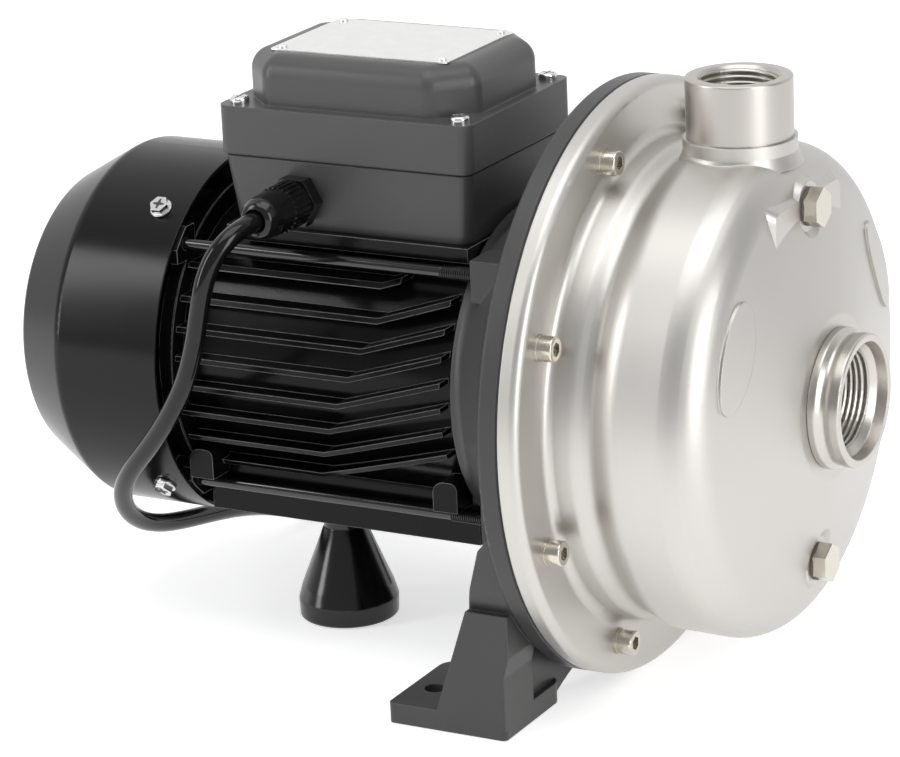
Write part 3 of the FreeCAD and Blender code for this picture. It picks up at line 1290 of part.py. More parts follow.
def cord_along(points, name):
    """Round cord along straight runs joined by tangent arcs, as large as the runs allow."""
    edges = []
    position = points[0]
    radii = []
    for i in range(1, len(points) - 1):
        back = points[i - 1] - points[i]
        ahead = points[i + 1] - points[i]
        half = back.getAngle(ahead) / 2
        reach = 0.45 * min(back.Length, ahead.Length)
        radius = reach * math.tan(half)
        radii.append(round(radius, 1))
        start = points[i] + back.normalize() * reach
        end = points[i] + ahead.normalize() * reach
        inward = ((start + end) * 0.5 - points[i]).normalize()
        middle = points[i] + inward * (radius / math.sin(half) - radius)
        edges.append(Part.LineSegment(position, start).toShape())
        edges.append(Part.Arc(start, middle, end).toShape())
        position = end
    edges.append(Part.LineSegment(position, points[-1]).toShape())
    path = Part.Wire(edges)
    heading = points[1] - points[0]
    section = Part.Wire([Part.Circle(points[0], heading, CORD_RADIUS).toShape()])
    solid = path.makePipeShell([section], True, True)
    expected = math.pi * CORD_RADIUS ** 2 * path.Length
    print(name, "length", round(path.Length), "radii", radii, "volume ratio", round(solid.Volume / expected, 4))
    return solid


def power_cord():
    """Mains lead from the gland down past the fan cover and along the floor to its coil."""
    return cord_along([at(x, y, z) for x, y, z in LEAD_ROUTE], "power_cord")


def coil_top():
    """Height of the cord's centre line where it leaves the coil."""
    return LEAD_ROUTE[-1][2] + COIL_TURNS * COIL_PITCH


def tail_route():
    """Route from the top of the coil to the plug."""
    north = COIL_Y + COIL_RADIUS
    plug_height = -SHAFT_HEIGHT + PLUG_BODY_RADIUS
    drop = coil_top() - plug_height
    return [at(COIL_X, north, coil_top()), at(COIL_X + 16.0, north + 0.8, coil_top() - 0.08 * drop),
            at(COIL_X + 32.0, north + 3.0, coil_top() - 0.36 * drop),
            at(COIL_X + 48.0, north + 5.6, coil_top() - 0.72 * drop),
            at(COIL_X + 64.0, north + 7.4, plug_height + 0.06 * drop),
            at(COIL_X + 80.0, north + 8.0, plug_height)]


def cord_tail():
    """Free end of the lead between coil and plug."""
    return cord_along(tail_route(), "cord_tail")


def coil_height():
    """Height of the wound turns, cord included."""
    return COIL_TURNS * COIL_PITCH + 2 * CORD_RADIUS


def cord_coil():
    """Outer shape of the wound part of the lead."""
    low = at(COIL_X, COIL_Y, LEAD_ROUTE[-1][2] - CORD_RADIUS)
    height = coil_height()
    ring = Part.makeCylinder(COIL_RADIUS + CORD_RADIUS, height, low, UP)
    return ring.cut(Part.makeCylinder(COIL_RADIUS - CORD_RADIUS, height, low, UP))


def cord_tie():
    """Band that holds the turns together."""
    bottom = LEAD_ROUTE[-1][2] - CORD_RADIUS
    height = coil_height()
    x0 = COIL_X + COIL_RADIUS - CORD_RADIUS - 1.0
    x1 = COIL_X + COIL_RADIUS + CORD_RADIUS
    outer = block(x0 - TIE_THICKNESS, x1 + TIE_THICKNESS, COIL_Y - TIE_WIDTH / 2, COIL_Y + TIE_WIDTH / 2,
                  bottom - TIE_THICKNESS, bottom + height + TIE_THICKNESS)
    inner = block(x0, x1, COIL_Y - TIE_WIDTH, COIL_Y + TIE_WIDTH, bottom, bottom + height)
    return outer.cut(inner)


def mains_plug():
    """Moulded two-pin plug with its strain relief."""
    end = tail_route()[-1]
    heading = (end - tail_route()[-2]).normalize()
    profile = [(0.0, 0.0), (CORD_RADIUS + 1.6, 0.0, 0.6), (CORD_RADIUS + 3.4, RELIEF_LENGTH * 0.7, 2.0),
               (9.5, RELIEF_LENGTH - 2.0, 3.0), (PLUG_BODY_RADIUS - 2.0, RELIEF_LENGTH + 8.0, 8.0),
               (PLUG_BODY_RADIUS, RELIEF_LENGTH + 16.0, 4.0),
               (PLUG_BODY_RADIUS, RELIEF_LENGTH + PLUG_BODY_LENGTH, 1.5), (0.0, RELIEF_LENGTH + PLUG_BODY_LENGTH)]
    body = rounded_face(profile, lambda r, h: V(r, 0, h)).revolve(V(0, 0, 0), UP, 360)
    for side in (-1, 1):
        flat = Part.makeBox(60.0, 20.0, 30.0, V(-30.0, 12.0 if side > 0 else -32.0, RELIEF_LENGTH + 6.0))
        body = body.cut(flat)
        start = V(side * PIN_SPACING / 2, 0, RELIEF_LENGTH + PLUG_BODY_LENGTH - 8.0)
        body = body.cut(Part.makeCylinder(PIN_RADIUS, 10.0, start, UP))
    body.Placement = plug_placement(end, heading)
    return body


def plug_placement(end, heading):
    """Plug lies along the cord's last direction with its pins side by side."""
    return FreeCAD.Placement(end, FreeCAD.Rotation(V(-heading.y, heading.x, 0), UP, heading, "ZXY"))


def plug_pins():
    """Two brass pins."""
    end = tail_route()[-1]
    heading = (end - tail_route()[-2]).normalize()
    pins = []
    for side in (-1, 1):
        start = V(side * PIN_SPACING / 2, 0, RELIEF_LENGTH + PLUG_BODY_LENGTH - 8.0)
        pin = Part.makeCylinder(PIN_RADIUS, PIN_LENGTH + 8.0, start, UP)
        pin.Placement = plug_placement(end, heading)
        pins.append(pin)
    return group(pins)


# Cone foot

def cone_foot():
    """Rubber cone that carries the motor's weight."""
    floor = -SHAFT_HEIGHT
    top = SHAFT_HEIGHT - RAIL_BOTTOM
    profile = [(0.0, 0.0), (CONE_RADIUS, 0.0, 1.5), (CONE_RADIUS + 0.3, CONE_SHOULDER - 5.0, 3.0),
               (CONE_RADIUS - 1.5, CONE_SHOULDER + 1.0, 5.0), (CONE_NECK_RADIUS, CONE_NECK_HEIGHT, 3.0),
               (CONE_NECK_RADIUS, top), (0.0, top)]
    base = at(CONE_X, 0, floor)
    body = rounded_face(profile, lambda r, h: V(base.x + r, 0, h)).revolve(base, UP, 360)
    recess = Part.makeCylinder(CONE_RECESS_RADIUS, CONE_RECESS, base, UP)
    return body.cut(recess).cut(Part.makeCylinder(CONE_SCREW_RADIUS, top, base, UP))


def foot_screw():
    """Screw that holds the cone foot under the motor."""
    head_base = at(CONE_X, 0, CONE_RECESS - SHAFT_HEIGHT)
    head = chamfered_hexagon(FOOT_SCREW_FLATS, FOOT_SCREW_HEAD, head_base, V(0, 0, -1))
    top = SHAFT_HEIGHT - RAIL_BOTTOM + FOOT_SCREW_GRIP
    shank = Part.makeCylinder(CONE_SCREW_RADIUS, top - CONE_RECESS, head_base, UP)
    return joined([head, shank])


def main():
    os.makedirs("parts", exist_ok=True)
    save(casing(), "casing")
    save(suction_socket(), "suction_socket")
    save(discharge_socket(), "discharge_socket")
    for name, (height, seat) in PLUGS.items():
        save(plug(height, seat), name + "_plug")
        save(plug_washer(height, seat), name + "_plug_washer")
    save(group([casing_screw(y, z) for y, z in screw_places()]), "casing_screws")
    save(group([lock_washer(y, z) for y, z in screw_places()]), "casing_screw_washers")
    save(rim_seal(), "rim_seal")
    save(casing_seal(), "casing_seal")
    save(seal_plate(), "seal_plate")
    save(seal_seat(), "seal_seat")
    save(seal_head(), "seal_head")
    save(seal_spring(), "seal_spring")
    save(impeller(), "impeller")
    save(impeller_key(), "impeller_key")
    save(impeller_nut(), "impeller_nut")
    save(bracket(), "bracket")
    save(motor_shaft(), "motor_shaft")
    save(slinger(), "slinger")
    for name, place in (("front", FRONT_BEARING), ("rear", REAR_BEARING)):
        save(bearing_outer(place), name + "_bearing_outer_ring")
        save(bearing_inner(place), name + "_bearing_inner_ring")
        save(bearing_balls(place), name + "_bearing_balls")
    save(wave_spring(), "wave_spring")
    save(rotor_core(), "rotor_core")
    save(stator_core(), "stator_core")
    save(stator_winding(), "stator_winding")
    save(motor_frame(), "motor_frame")
    save(rear_shield(), "rear_shield")
    save(group([tie_rod(y, z) for y, z in rod_places()]), "tie_rods")
    save(group([tie_rod_nut(y, z) for y, z in rod_places()]), "tie_rod_nuts")
    save(cooling_fan(), "cooling_fan")
    save(fan_circlip(), "fan_circlip")
    save(fan_cover(), "fan_cover")
    save(group([fan_cover_screw(angle) for angle in COVER_SCREW_ANGLES]), "fan_cover_screws")
    save(box_base(), "terminal_box_base")
    save(box_gasket(), "terminal_box_gasket")
    save(box_lid(), "terminal_box_lid")
    save(group([box_lid_screw(x, y) for x, y in box_screw_places()]), "terminal_box_screws")
    save(rating_plate(), "rating_plate")
    save(group([plate_rivet(x, y) for x, y in plate_corners()]), "rating_plate_rivets")
    save(terminal_block(), "terminal_block")
    save(run_capacitor(), "run_capacitor")
    save(gland_body(), "gland_body")
    save(gland_nut(), "gland_nut")
    save(gland_seal(), "gland_seal")
    save(gland_locknut(), "gland_locknut")
    save(power_cord(), "power_cord")
    save(cord_coil(), "cord_coil")
    save(cord_tie(), "cord_tie")
    save(cord_tail(), "cord_tail")
    save(mains_plug(), "mains_plug")
    save(plug_pins(), "plug_pins")
    save(cone_foot(), "cone_foot")
    save(foot_screw(), "foot_screw")


main()
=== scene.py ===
# %% [markdown]
# # A close-coupled centrifugal pump
# The pump has a drawn stainless casing, a cast bracket with two feet, a finned black motor and a terminal box.
# The solids from the CAD model are the frame: they already sit in the right place, in metres.
# This lesson sets the camera, lays the mains lead, lights the scene, finishes every piece and adds fine detail.

# %% Load the frame
import math
import bpy
import bmesh
from mathutils import Matrix, Vector


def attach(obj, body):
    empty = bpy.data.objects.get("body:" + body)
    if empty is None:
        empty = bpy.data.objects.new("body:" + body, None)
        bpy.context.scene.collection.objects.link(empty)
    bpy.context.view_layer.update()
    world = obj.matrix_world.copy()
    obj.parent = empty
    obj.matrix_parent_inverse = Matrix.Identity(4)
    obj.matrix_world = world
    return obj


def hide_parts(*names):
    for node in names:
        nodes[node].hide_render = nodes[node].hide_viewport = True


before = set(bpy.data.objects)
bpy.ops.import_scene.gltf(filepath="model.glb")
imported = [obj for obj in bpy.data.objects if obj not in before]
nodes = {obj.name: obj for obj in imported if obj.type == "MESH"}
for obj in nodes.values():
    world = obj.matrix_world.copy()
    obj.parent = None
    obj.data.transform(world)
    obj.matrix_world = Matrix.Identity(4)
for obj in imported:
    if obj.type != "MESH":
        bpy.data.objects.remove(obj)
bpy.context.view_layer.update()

print("pieces in the frame:", len(nodes))

# %% [markdown]
# Every place below is measured from the flange plane along the shaft, in millimetres, as on a drawing.
# One helper turns such a place into Blender's metres, so the numbers stay readable.

# %% Places on the pump
SHAFT_HEIGHT = 122.0
DISCHARGE_X = 47.3
FLANGE = Vector((0.0545, 0.0, SHAFT_HEIGHT / 1000))


def at(x, y=0.0, z=0.0):
    """Place given in millimetres from the flange plane and the shaft axis."""
    return FLANGE + Vector((x, y, z)) / 1000


print("suction mouth at", [round(c, 4) for c in at(98)])

# %% [markdown]
# Three helpers save lines later on. One links a new object to the scene, one makes a math node, and one turns a
# closed mesh into a piece of the pump's housing.

# %% Helpers


def add_object(name, data):
    """New object, linked to the scene."""
    thing = bpy.data.objects.new(name, data)
    bpy.context.scene.collection.objects.link(thing)
    return thing


def math_node(tree, operation, first, second=None):
    """Math node fed by sockets or plain numbers; returns its output."""
    node = tree.nodes.new("ShaderNodeMath")
    node.operation = operation
    for slot, value in ((0, first), (1, second)):
        if value is None:
            continue
        if isinstance(value, (int, float)):
            node.inputs[slot].default_value = value
        else:
            tree.links.new(value, node.inputs[slot])
    return node.outputs[0]


def housing_piece(name, mesh, material):
    """Closed mesh turned into a piece that rides on the housing."""
    bmesh.ops.recalc_face_normals(mesh, faces=mesh.faces)
    data = bpy.data.meshes.new(name)
    mesh.to_mesh(data)
    mesh.free()
    data.materials.append(material)
    piece = add_object(name, data)
    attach(piece, "pump_housing")
    return piece


print("helpers ready")

# %% [markdown]
# ## Camera
# The photograph was taken from the suction side, a little above the pump, with a long lens.
# The three directions of the camera are built from its azimuth, its elevation and a small roll.
# A long lens far away keeps the flange nearly round, as in the photograph.

# %% Camera at the photograph's angle
azimuth, elevation, roll = math.radians(29.32), math.radians(17.71), math.radians(-2.66)
towards = Vector((math.sin(azimuth) * math.cos(elevation), -math.cos(azimuth) * math.cos(elevation),
                  math.sin(elevation)))
level = Vector((math.cos(azimuth), math.sin(azimuth), 0))
upright = towards.cross(level)
right = level * math.cos(roll) + upright * math.sin(roll)
top = upright * math.cos(roll) - level * math.sin(roll)
left_of_flange, below_flange, away = 0.0716, 0.00145, 1.6141
place = FLANGE - right * left_of_flange - top * below_flange + towards * away
lens = bpy.data.cameras.new("camera")
camera = add_object("camera", lens)
bpy.context.scene.camera = camera
camera.matrix_world = Matrix.Translation(place) @ Matrix((right, top, towards)).transposed().to_4x4()
lens.sensor_width = 36.0
lens.lens = 161.54
lens.shift_x = -0.01024
lens.shift_y = -0.00126
lens.clip_start, lens.clip_end = 0.1, 50.0
print("camera distance", round((place - FLANGE).length, 3), "m")

# %% [markdown]
# ## Mains lead
# A three-core mains lead is 8 mm thick and springy, so it falls from the gland in one wide bow.
# One curve carries the whole lead: the bow, the way along the floor, the coil behind the motor and the tail.
# A NURBS curve of order three smooths a handful of points into a line with no kinks.

# %% Route of the lead
gland_mouth = (-127.0, -75.6, 72.0)
bow = [
    gland_mouth, (-127.0, -84.8, 72.0), (-129.6, -93.4, 69.2), (-133.4, -99.4, 62.8),
    (-136.6, -102.4, 53.6), (-139.2, -103.2, 42.2), (-142.8, -102.8, 27.0), (-149.2, -101.2, 10.5),
    (-160.0, -98.4, -6.4), (-173.6, -94.0, -22.2), (-187.2, -88.6, -35.6), (-197.8, -80.4, -48.4),
    (-204.6, -68.6, -61.2), (-208.6, -53.2, -72.0), (-210.2, -35.4, -79.6), (-210.4, -16.0, -84.4),
    (-210.0, 4.6, -88.2), (-209.8, 25.8, -92.8), (-210.2, 46.8, -99.2), (-211.2, 67.2, -107.2),
    (-213.6, 87.2, -113.8), (-218.6, 106.2, -117.4), (-225.6, 122.4, -117.8), (-231.4, 136.6, -117.4),
    (-234.0, 150.0, -116.8),
]
route = [at(*p) for p in bow]
coil_x, coil_y, coil_radius = -190.0, 150.0, 44.0
turns, steps, pitch = 3.25, 16, 8.2
coil_floor = bow[-1][2]
# A curve of order three runs a little inside its points, so they stand further out than the coil does.
mean_radius = coil_radius / (0.75 + 0.25 * math.cos(2 * math.pi / steps))
for i in range(1, int(turns * steps) + 1):
    angle = math.pi - 2 * math.pi * i / steps
    route.append(at(coil_x + mean_radius * math.cos(angle), coil_y + mean_radius * math.sin(angle),
                    coil_floor + pitch * i / steps))
top_of_coil = coil_floor + pitch * turns
plug_height = -SHAFT_HEIGHT + 19.0
fall = top_of_coil - plug_height
far_side = coil_y + coil_radius
tail = ((16.0, 0.8, 0.08), (32.0, 3.0, 0.36), (48.0, 5.6, 0.72), (64.0, 7.4, 0.94), (80.0, 8.0, 1.0))
for along, out, share in tail:
    route.append(at(coil_x + along, far_side + out, top_of_coil - share * fall))
print("points on the lead:", len(route))

# %% The lead as one curve
lead_diameter = 0.008
lead_data = bpy.data.curves.new("mains_lead", "CURVE")
lead_data.dimensions = "3D"
spline = lead_data.splines.new("NURBS")
spline.points.add(len(route) - 1)
for point, target in zip(spline.points, route):
    point.co = (*target, 1.0)
    point.radius = lead_diameter / 2
spline.order_u = 3
spline.use_endpoint_u = True
spline.resolution_u = 6
lead_data.bevel_depth = 1.0
lead_data.bevel_resolution = 6
lead_data.use_fill_caps = True
mains_lead = add_object("mains_lead", lead_data)
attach(mains_lead, "pump_housing")
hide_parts("power_cord", "cord_coil", "cord_tail")

bare = lead_data.copy()
bare.bevel_depth = 0.0
bare_object = bpy.data.objects.new("measure", bare)
line = bpy.data.meshes.new_from_object(bare_object)
bpy.data.objects.remove(bare_object)
bpy.data.curves.remove(bare)

# %% [markdown]
# ## Floor and light
# The photograph has a white ground. The floor here is pale and keeps the pump's shadow, and the world is white.
# Large soft lamps do the work: a wide one overhead and two tall ones at the sides, as in a product studio.
# A little glow makes the ground white. Only the camera, reflections and glass see it, so it lights no dull surface.

# %% What the camera and the metal see


def pale_for_eye_and_metal(tree):
    """1 for what the camera, a reflection or glass looks at directly, 0 for light that falls on surfaces."""
    seen = tree.nodes.new("ShaderNodeLightPath")
    camera_or_glossy = math_node(tree, "MAXIMUM", seen.outputs["Is Camera Ray"], seen.outputs["Is Glossy Ray"])
    return math_node(tree, "MAXIMUM", camera_or_glossy, seen.outputs["Is Transmission Ray"])


print("pale ground is shown to the camera and to metal")

# %% Studio floor
floor_half, floor_gap, floor_tone, floor_glow = 2.0, 0.0005, 0.82, 0.62
corners = [(-floor_half, -floor_half, 0), (floor_half, -floor_half, 0), (floor_half, floor_half, 0),
           (-floor_half, floor_half, 0)]
floor_mesh = bpy.data.meshes.new("studio_floor")
floor_mesh.from_pydata(corners, [], [(0, 1, 2, 3)])
studio_floor = add_object("studio_floor", floor_mesh)
studio_floor.location.z = -floor_gap
floor_paint = bpy.data.materials.new("studio_floor")
floor_paint.use_nodes = True
tree = floor_paint.node_tree
tree.nodes.clear()
out = tree.nodes.new("ShaderNodeOutputMaterial")
add = tree.nodes.new("ShaderNodeAddShader")
matt = tree.nodes.new("ShaderNodeBsdfDiffuse")
matt.inputs["Color"].default_value = (floor_tone, floor_tone, floor_tone, 1)
glow = tree.nodes.new("ShaderNodeEmission")
tree.links.new(math_node(tree, "MULTIPLY", pale_for_eye_and_metal(tree), floor_glow), glow.inputs["Strength"])
tree.links.new(matt.outputs[0], add.inputs[0])
tree.links.new(glow.outputs[0], add.inputs[1])
tree.links.new(add.outputs[0], out.inputs["Surface"])
floor_mesh.materials.append(floor_paint)
print("floor is", floor_mesh.materials[0].name)

# %% [markdown]
# The world is a dim room with a white backdrop behind the pump. The camera sees white in every direction, so the
# pump stands on white from any side, while metal shows the backdrop only where it hangs.

# %% White world
world = bpy.data.worlds.new("studio")
bpy.context.scene.world = world
world.use_nodes = True
tree = world.node_tree
tree.nodes.clear()
out = tree.nodes.new("ShaderNodeOutputWorld")
mix = tree.nodes.new("ShaderNodeMixShader")
room = tree.nodes.new("ShaderNodeBackground")
room.inputs["Color"].default_value = (0.97, 0.98, 1.0, 1)
room.inputs["Strength"].default_value = 0.45
ground = tree.nodes.new("ShaderNodeBackground")
ground.inputs["Color"].default_value = (1, 1, 1, 1)
ground.inputs["Strength"].default_value = 1.0
direction = tree.nodes.new("ShaderNodeTexCoord")
behind = tree.nodes.new("ShaderNodeVectorMath")
behind.operation = "DOT_PRODUCT"
behind.inputs[1].default_value = (-towards.x, -towards.y, 0.0)
tree.links.new(direction.outputs["Generated"], behind.inputs[0])
backdrop = tree.nodes.new("ShaderNodeMapRange")
backdrop.inputs["From Min"].default_value = -0.1
backdrop.inputs["From Max"].default_value = 0.45
tree.links.new(behind.outputs["Value"], backdrop.inputs["Value"])
hung = math_node(tree, "MULTIPLY", pale_for_eye_and_metal(tree), backdrop.outputs[0])
eye = tree.nodes.new("ShaderNodeLightPath")
shown = math_node(tree, "MAXIMUM", hung, eye.outputs["Is Camera Ray"])
tree.links.new(shown, mix.inputs[0])
tree.links.new(room.outputs[0], mix.inputs[1])
tree.links.new(ground.outputs[0], mix.inputs[2])
tree.links.new(mix.outputs[0], out.inputs["Surface"])
print("world:", world.name)

# %% Soft lamps


def softbox(name, position, target, width, height, power):
    """Rectangular lamp that looks at a target."""
    data = bpy.data.lights.new(name, "AREA")
    data.shape = "RECTANGLE"
    data.size, data.size_y = width, height
    data.energy = power
    lamp = add_object(name, data)
    lamp.location = position
    lamp.rotation_euler = (Vector(target) - Vector(position)).to_track_quat("-Z", "Y").to_euler()


middle = (0.0, 0.0, 0.12)
softbox("overhead", (0.1, -0.3, 1.5), middle, 1.4, 1.0, 11)
softbox("left", (-1.1, -1.0, 0.7), middle, 0.35, 1.2, 9)
softbox("right", (1.5, -0.6, 0.6), middle, 0.6, 1.2, 11.5)
bpy.context.scene.view_settings.view_transform = "Standard"

# %% [markdown]
# ## Finishes
# Real surfaces are never one flat colour: paint is mottled, steel is grained, edges are rubbed.
# Each such effect is one node group, built once, and every material sets its own amounts. The edge group also
# paints a highlight along the edges of the motor's fins.

# %% Group: mottled colour and roughness


def new_group(name, sockets_in, sockets_out):
    """Empty shader group with named sockets; returns the group and its two end nodes."""
    group = bpy.data.node_groups.new(name, "ShaderNodeTree")
    for label, kind, value in sockets_in:
        socket = group.interface.new_socket(label, in_out="INPUT", socket_type=kind)
        socket.default_value = value
    for label, kind in sockets_out:
        group.interface.new_socket(label, in_out="OUTPUT", socket_type=kind)
    return group, group.nodes.new("NodeGroupInput"), group.nodes.new("NodeGroupOutput")


FLOAT, COLOR, VECTOR = "NodeSocketFloat", "NodeSocketColor", "NodeSocketVector"
mottle, ends_in, ends_out = new_group(
    "mottle", [("Color", COLOR, (0.5, 0.5, 0.5, 1)), ("Roughness", FLOAT, 0.4), ("Color Change", FLOAT, 0.1),
               ("Roughness Change", FLOAT, 0.1), ("Patch Size", FLOAT, 30.0)],
    [("Color", COLOR), ("Roughness", FLOAT)])
where = mottle.nodes.new("ShaderNodeTexCoord")
wide = mottle.nodes.new("ShaderNodeTexNoise")
wide.inputs["Detail"].default_value = 3.0
mottle.links.new(where.outputs["Object"], wide.inputs["Vector"])
mottle.links.new(ends_in.outputs["Patch Size"], wide.inputs["Scale"])
centred = math_node(mottle, "SUBTRACT", wide.outputs["Fac"], 0.5)
swing = math_node(mottle, "MULTIPLY", centred, ends_in.outputs["Color Change"])
factor = math_node(mottle, "ADD", math_node(mottle, "MULTIPLY", swing, 2.0), 1.0)
hue = mottle.nodes.new("ShaderNodeHueSaturation")
mottle.links.new(ends_in.outputs["Color"], hue.inputs["Color"])
mottle.links.new(factor, hue.inputs["Value"])
mottle.links.new(hue.outputs[0], ends_out.inputs["Color"])
rough_swing = math_node(mottle, "MULTIPLY", math_node(mottle, "MULTIPLY", centred, 2.0),
                        ends_in.outputs["Roughness Change"])
mottle.links.new(math_node(mottle, "ADD", ends_in.outputs["Roughness"], rough_swing), ends_out.inputs["Roughness"])
print("group", mottle.name, "sockets", len(mottle.interface.items_tree))

# %% Group: fine grain for paint, blasting and castings
grain, ends_in, ends_out = new_group(
    "grain", [("Size", FLOAT, 900.0), ("Softness", FLOAT, 0.5), ("Waviness", FLOAT, 0.2)], [("Height", FLOAT)])
where = grain.nodes.new("ShaderNodeTexCoord")
fine = grain.nodes.new("ShaderNodeTexNoise")
fine.inputs["Detail"].default_value = 2.0
grain.links.new(where.outputs["Object"], fine.inputs["Vector"])
grain.links.new(ends_in.outputs["Size"], fine.inputs["Scale"])
grain.links.new(ends_in.outputs["Softness"], fine.inputs["Roughness"])
slow = grain.nodes.new("ShaderNodeTexNoise")
slow.inputs["Scale"].default_value = 60.0
grain.links.new(where.outputs["Object"], slow.inputs["Vector"])
total = math_node(grain, "ADD", fine.outputs["Fac"],
                  math_node(grain, "MULTIPLY", slow.outputs["Fac"], ends_in.outputs["Waviness"]))
grain.links.new(total, ends_out.inputs["Height"])
print("group", grain.name)

# %% Group: turning marks round an axis
turning, ends_in, ends_out = new_group(
    "turning", [("Axis Point", VECTOR, (0, 0, 0)), ("Across", VECTOR, (0, 1, 1)), ("Lines", FLOAT, 2500.0)],
    [("Height", FLOAT)])
where = turning.nodes.new("ShaderNodeTexCoord")
shift = turning.nodes.new("ShaderNodeVectorMath")
shift.operation = "SUBTRACT"
turning.links.new(where.outputs["Object"], shift.inputs[0])
turning.links.new(ends_in.outputs["Axis Point"], shift.inputs[1])
flat = turning.nodes.new("ShaderNodeVectorMath")
flat.operation = "MULTIPLY"
turning.links.new(shift.outputs[0], flat.inputs[0])
turning.links.new(ends_in.outputs["Across"], flat.inputs[1])
radius = turning.nodes.new("ShaderNodeVectorMath")
radius.operation = "LENGTH"
turning.links.new(flat.outputs[0], radius.inputs[0])
one = turning.nodes.new("ShaderNodeVectorMath")
one.operation = "SUBTRACT"
turning.links.new(shift.outputs[0], one.inputs[0])
turning.links.new(flat.outputs[0], one.inputs[1])
depth = turning.nodes.new("ShaderNodeVectorMath")
depth.operation = "LENGTH"
turning.links.new(one.outputs[0], depth.inputs[0])
both = math_node(turning, "ADD", radius.outputs["Value"], depth.outputs["Value"])
lines = turning.nodes.new("ShaderNodeTexNoise")
lines.noise_dimensions = "1D"
lines.inputs["Detail"].default_value = 3.0
turning.links.new(both, lines.inputs["W"])
turning.links.new(ends_in.outputs["Lines"], lines.inputs["Scale"])
turning.links.new(lines.outputs["Fac"], ends_out.inputs["Height"])
print("group", turning.name)

# %% Group: rubbed edges and painted edge highlights
# The mask paints a pale colour along edges: rubbed paint on some finishes, a painted highlight on the motor's fins.
rubbed, ends_in, ends_out = new_group(
    "edge_wear_and_painted_glint", [("Width", FLOAT, 0.0008), ("Amount", FLOAT, 0.5)], [("Mask", FLOAT), ("Normal", VECTOR)])
bevel = rubbed.nodes.new("ShaderNodeBevel")
bevel.samples = 4
rubbed.links.new(ends_in.outputs["Width"], bevel.inputs["Radius"])
geometry = rubbed.nodes.new("ShaderNodeNewGeometry")
facing = rubbed.nodes.new("ShaderNodeVectorMath")
facing.operation = "DOT_PRODUCT"
rubbed.links.new(bevel.outputs[0], facing.inputs[0])
rubbed.links.new(geometry.outputs["Normal"], facing.inputs[1])
turned_away = math_node(rubbed, "SUBTRACT", 1.0, facing.outputs["Value"])
where = rubbed.nodes.new("ShaderNodeTexCoord")
broken = rubbed.nodes.new("ShaderNodeTexNoise")
broken.inputs["Scale"].default_value = 220.0
broken.inputs["Detail"].default_value = 4.0
rubbed.links.new(where.outputs["Object"], broken.inputs["Vector"])
patchy = math_node(rubbed, "MULTIPLY", math_node(rubbed, "MULTIPLY", turned_away, 6.0), broken.outputs["Fac"])
strength = math_node(rubbed, "MULTIPLY", patchy, ends_in.outputs["Amount"])
clamp = rubbed.nodes.new("ShaderNodeClamp")
rubbed.links.new(strength, clamp.inputs["Value"])
rubbed.links.new(clamp.outputs[0], ends_out.inputs["Mask"])
rubbed.links.new(bevel.outputs[0], ends_out.inputs["Normal"])
print("group", rubbed.name)

# %% [markdown]
# One helper builds a finish from these groups: a base colour and roughness, a grain, soft edges, and an edge colour,
# which is rubbed paint on some finishes and a painted highlight on the motor's fins. Metals differ from paint only in
# a few numbers, so one recipe serves.

# %% Recipe for a finish


def finish(name, color, roughness, metallic=0.0, change=0.08, rough_change=0.08, patch=30.0, grain_size=900.0,
           grain_depth=0.02, waviness=0.2, edge=0.0006, wear=0.0, worn=(0.5, 0.5, 0.5), coat=0.0,
           coat_roughness=0.1, specular=0.5, lines=None, line_depth=0.0):
    """Material with mottled colour and roughness, grain, soft edges and optional turning marks."""
    material = bpy.data.materials.new(name)
    material.use_nodes = True
    tree = material.node_tree
    shader = tree.nodes["Principled BSDF"]

    def use(group):
        node = tree.nodes.new("ShaderNodeGroup")
        node.node_tree = group
        return node

    tone = use(mottle)
    tone.inputs["Color"].default_value = (*color, 1)
    tone.inputs["Roughness"].default_value = roughness
    tone.inputs["Color Change"].default_value = change
    tone.inputs["Roughness Change"].default_value = rough_change
    tone.inputs["Patch Size"].default_value = patch
    edges = use(rubbed)
    edges.inputs["Width"].default_value = edge
    edges.inputs["Amount"].default_value = wear
    shade = tone.outputs["Color"]
    # The edge colour is rubbed paint on some finishes and a painted highlight on the motor's fins.
    if wear > 0:
        blend = tree.nodes.new("ShaderNodeMix")
        blend.data_type = "RGBA"
        blend.inputs["B"].default_value = (*worn, 1)
        tree.links.new(edges.outputs["Mask"], blend.inputs["Factor"])
        tree.links.new(shade, blend.inputs["A"])
        shade = blend.outputs["Result"]
    tree.links.new(shade, shader.inputs["Base Color"])
    tree.links.new(tone.outputs["Roughness"], shader.inputs["Roughness"])
    shader.inputs["Metallic"].default_value = metallic
    shader.inputs["Specular IOR Level"].default_value = specular
    shader.inputs["Coat Weight"].default_value = coat
    shader.inputs["Coat Roughness"].default_value = coat_roughness
    texture = use(grain)
    texture.inputs["Size"].default_value = grain_size
    texture.inputs["Waviness"].default_value = waviness
    height = texture.outputs["Height"]
    if lines:
        marks = use(turning)
        for socket, value in zip(("Axis Point", "Across", "Lines"), lines):
            marks.inputs[socket].default_value = value
        height = math_node(tree, "ADD", height, math_node(tree, "MULTIPLY", marks.outputs["Height"], line_depth))
    bump = tree.nodes.new("ShaderNodeBump")
    bump.inputs["Strength"].default_value = 1.0
    bump.inputs["Distance"].default_value = grain_depth / 1000
    tree.links.new(height, bump.inputs["Height"])
    tree.links.new(edges.outputs["Normal"], bump.inputs["Normal"])
    tree.links.new(bump.outputs[0], shader.inputs["Normal"])
    return material


def dress(material, *names):
    """Gives a finish to CAD pieces."""
    for name in names:
        mesh = nodes[name].data
        if not mesh.materials:
            mesh.materials.append(material)
        for i in range(len(mesh.materials)):
            mesh.materials[i] = material


print("recipe ready")

# %% [markdown]
# ### Steel
# The casing is drawn stainless sheet, pickled to a soft satin. The sockets are turned bar, so they carry fine rings.
# The screws are plated and shinier. Round marks need to know the axis that the tool turned about.

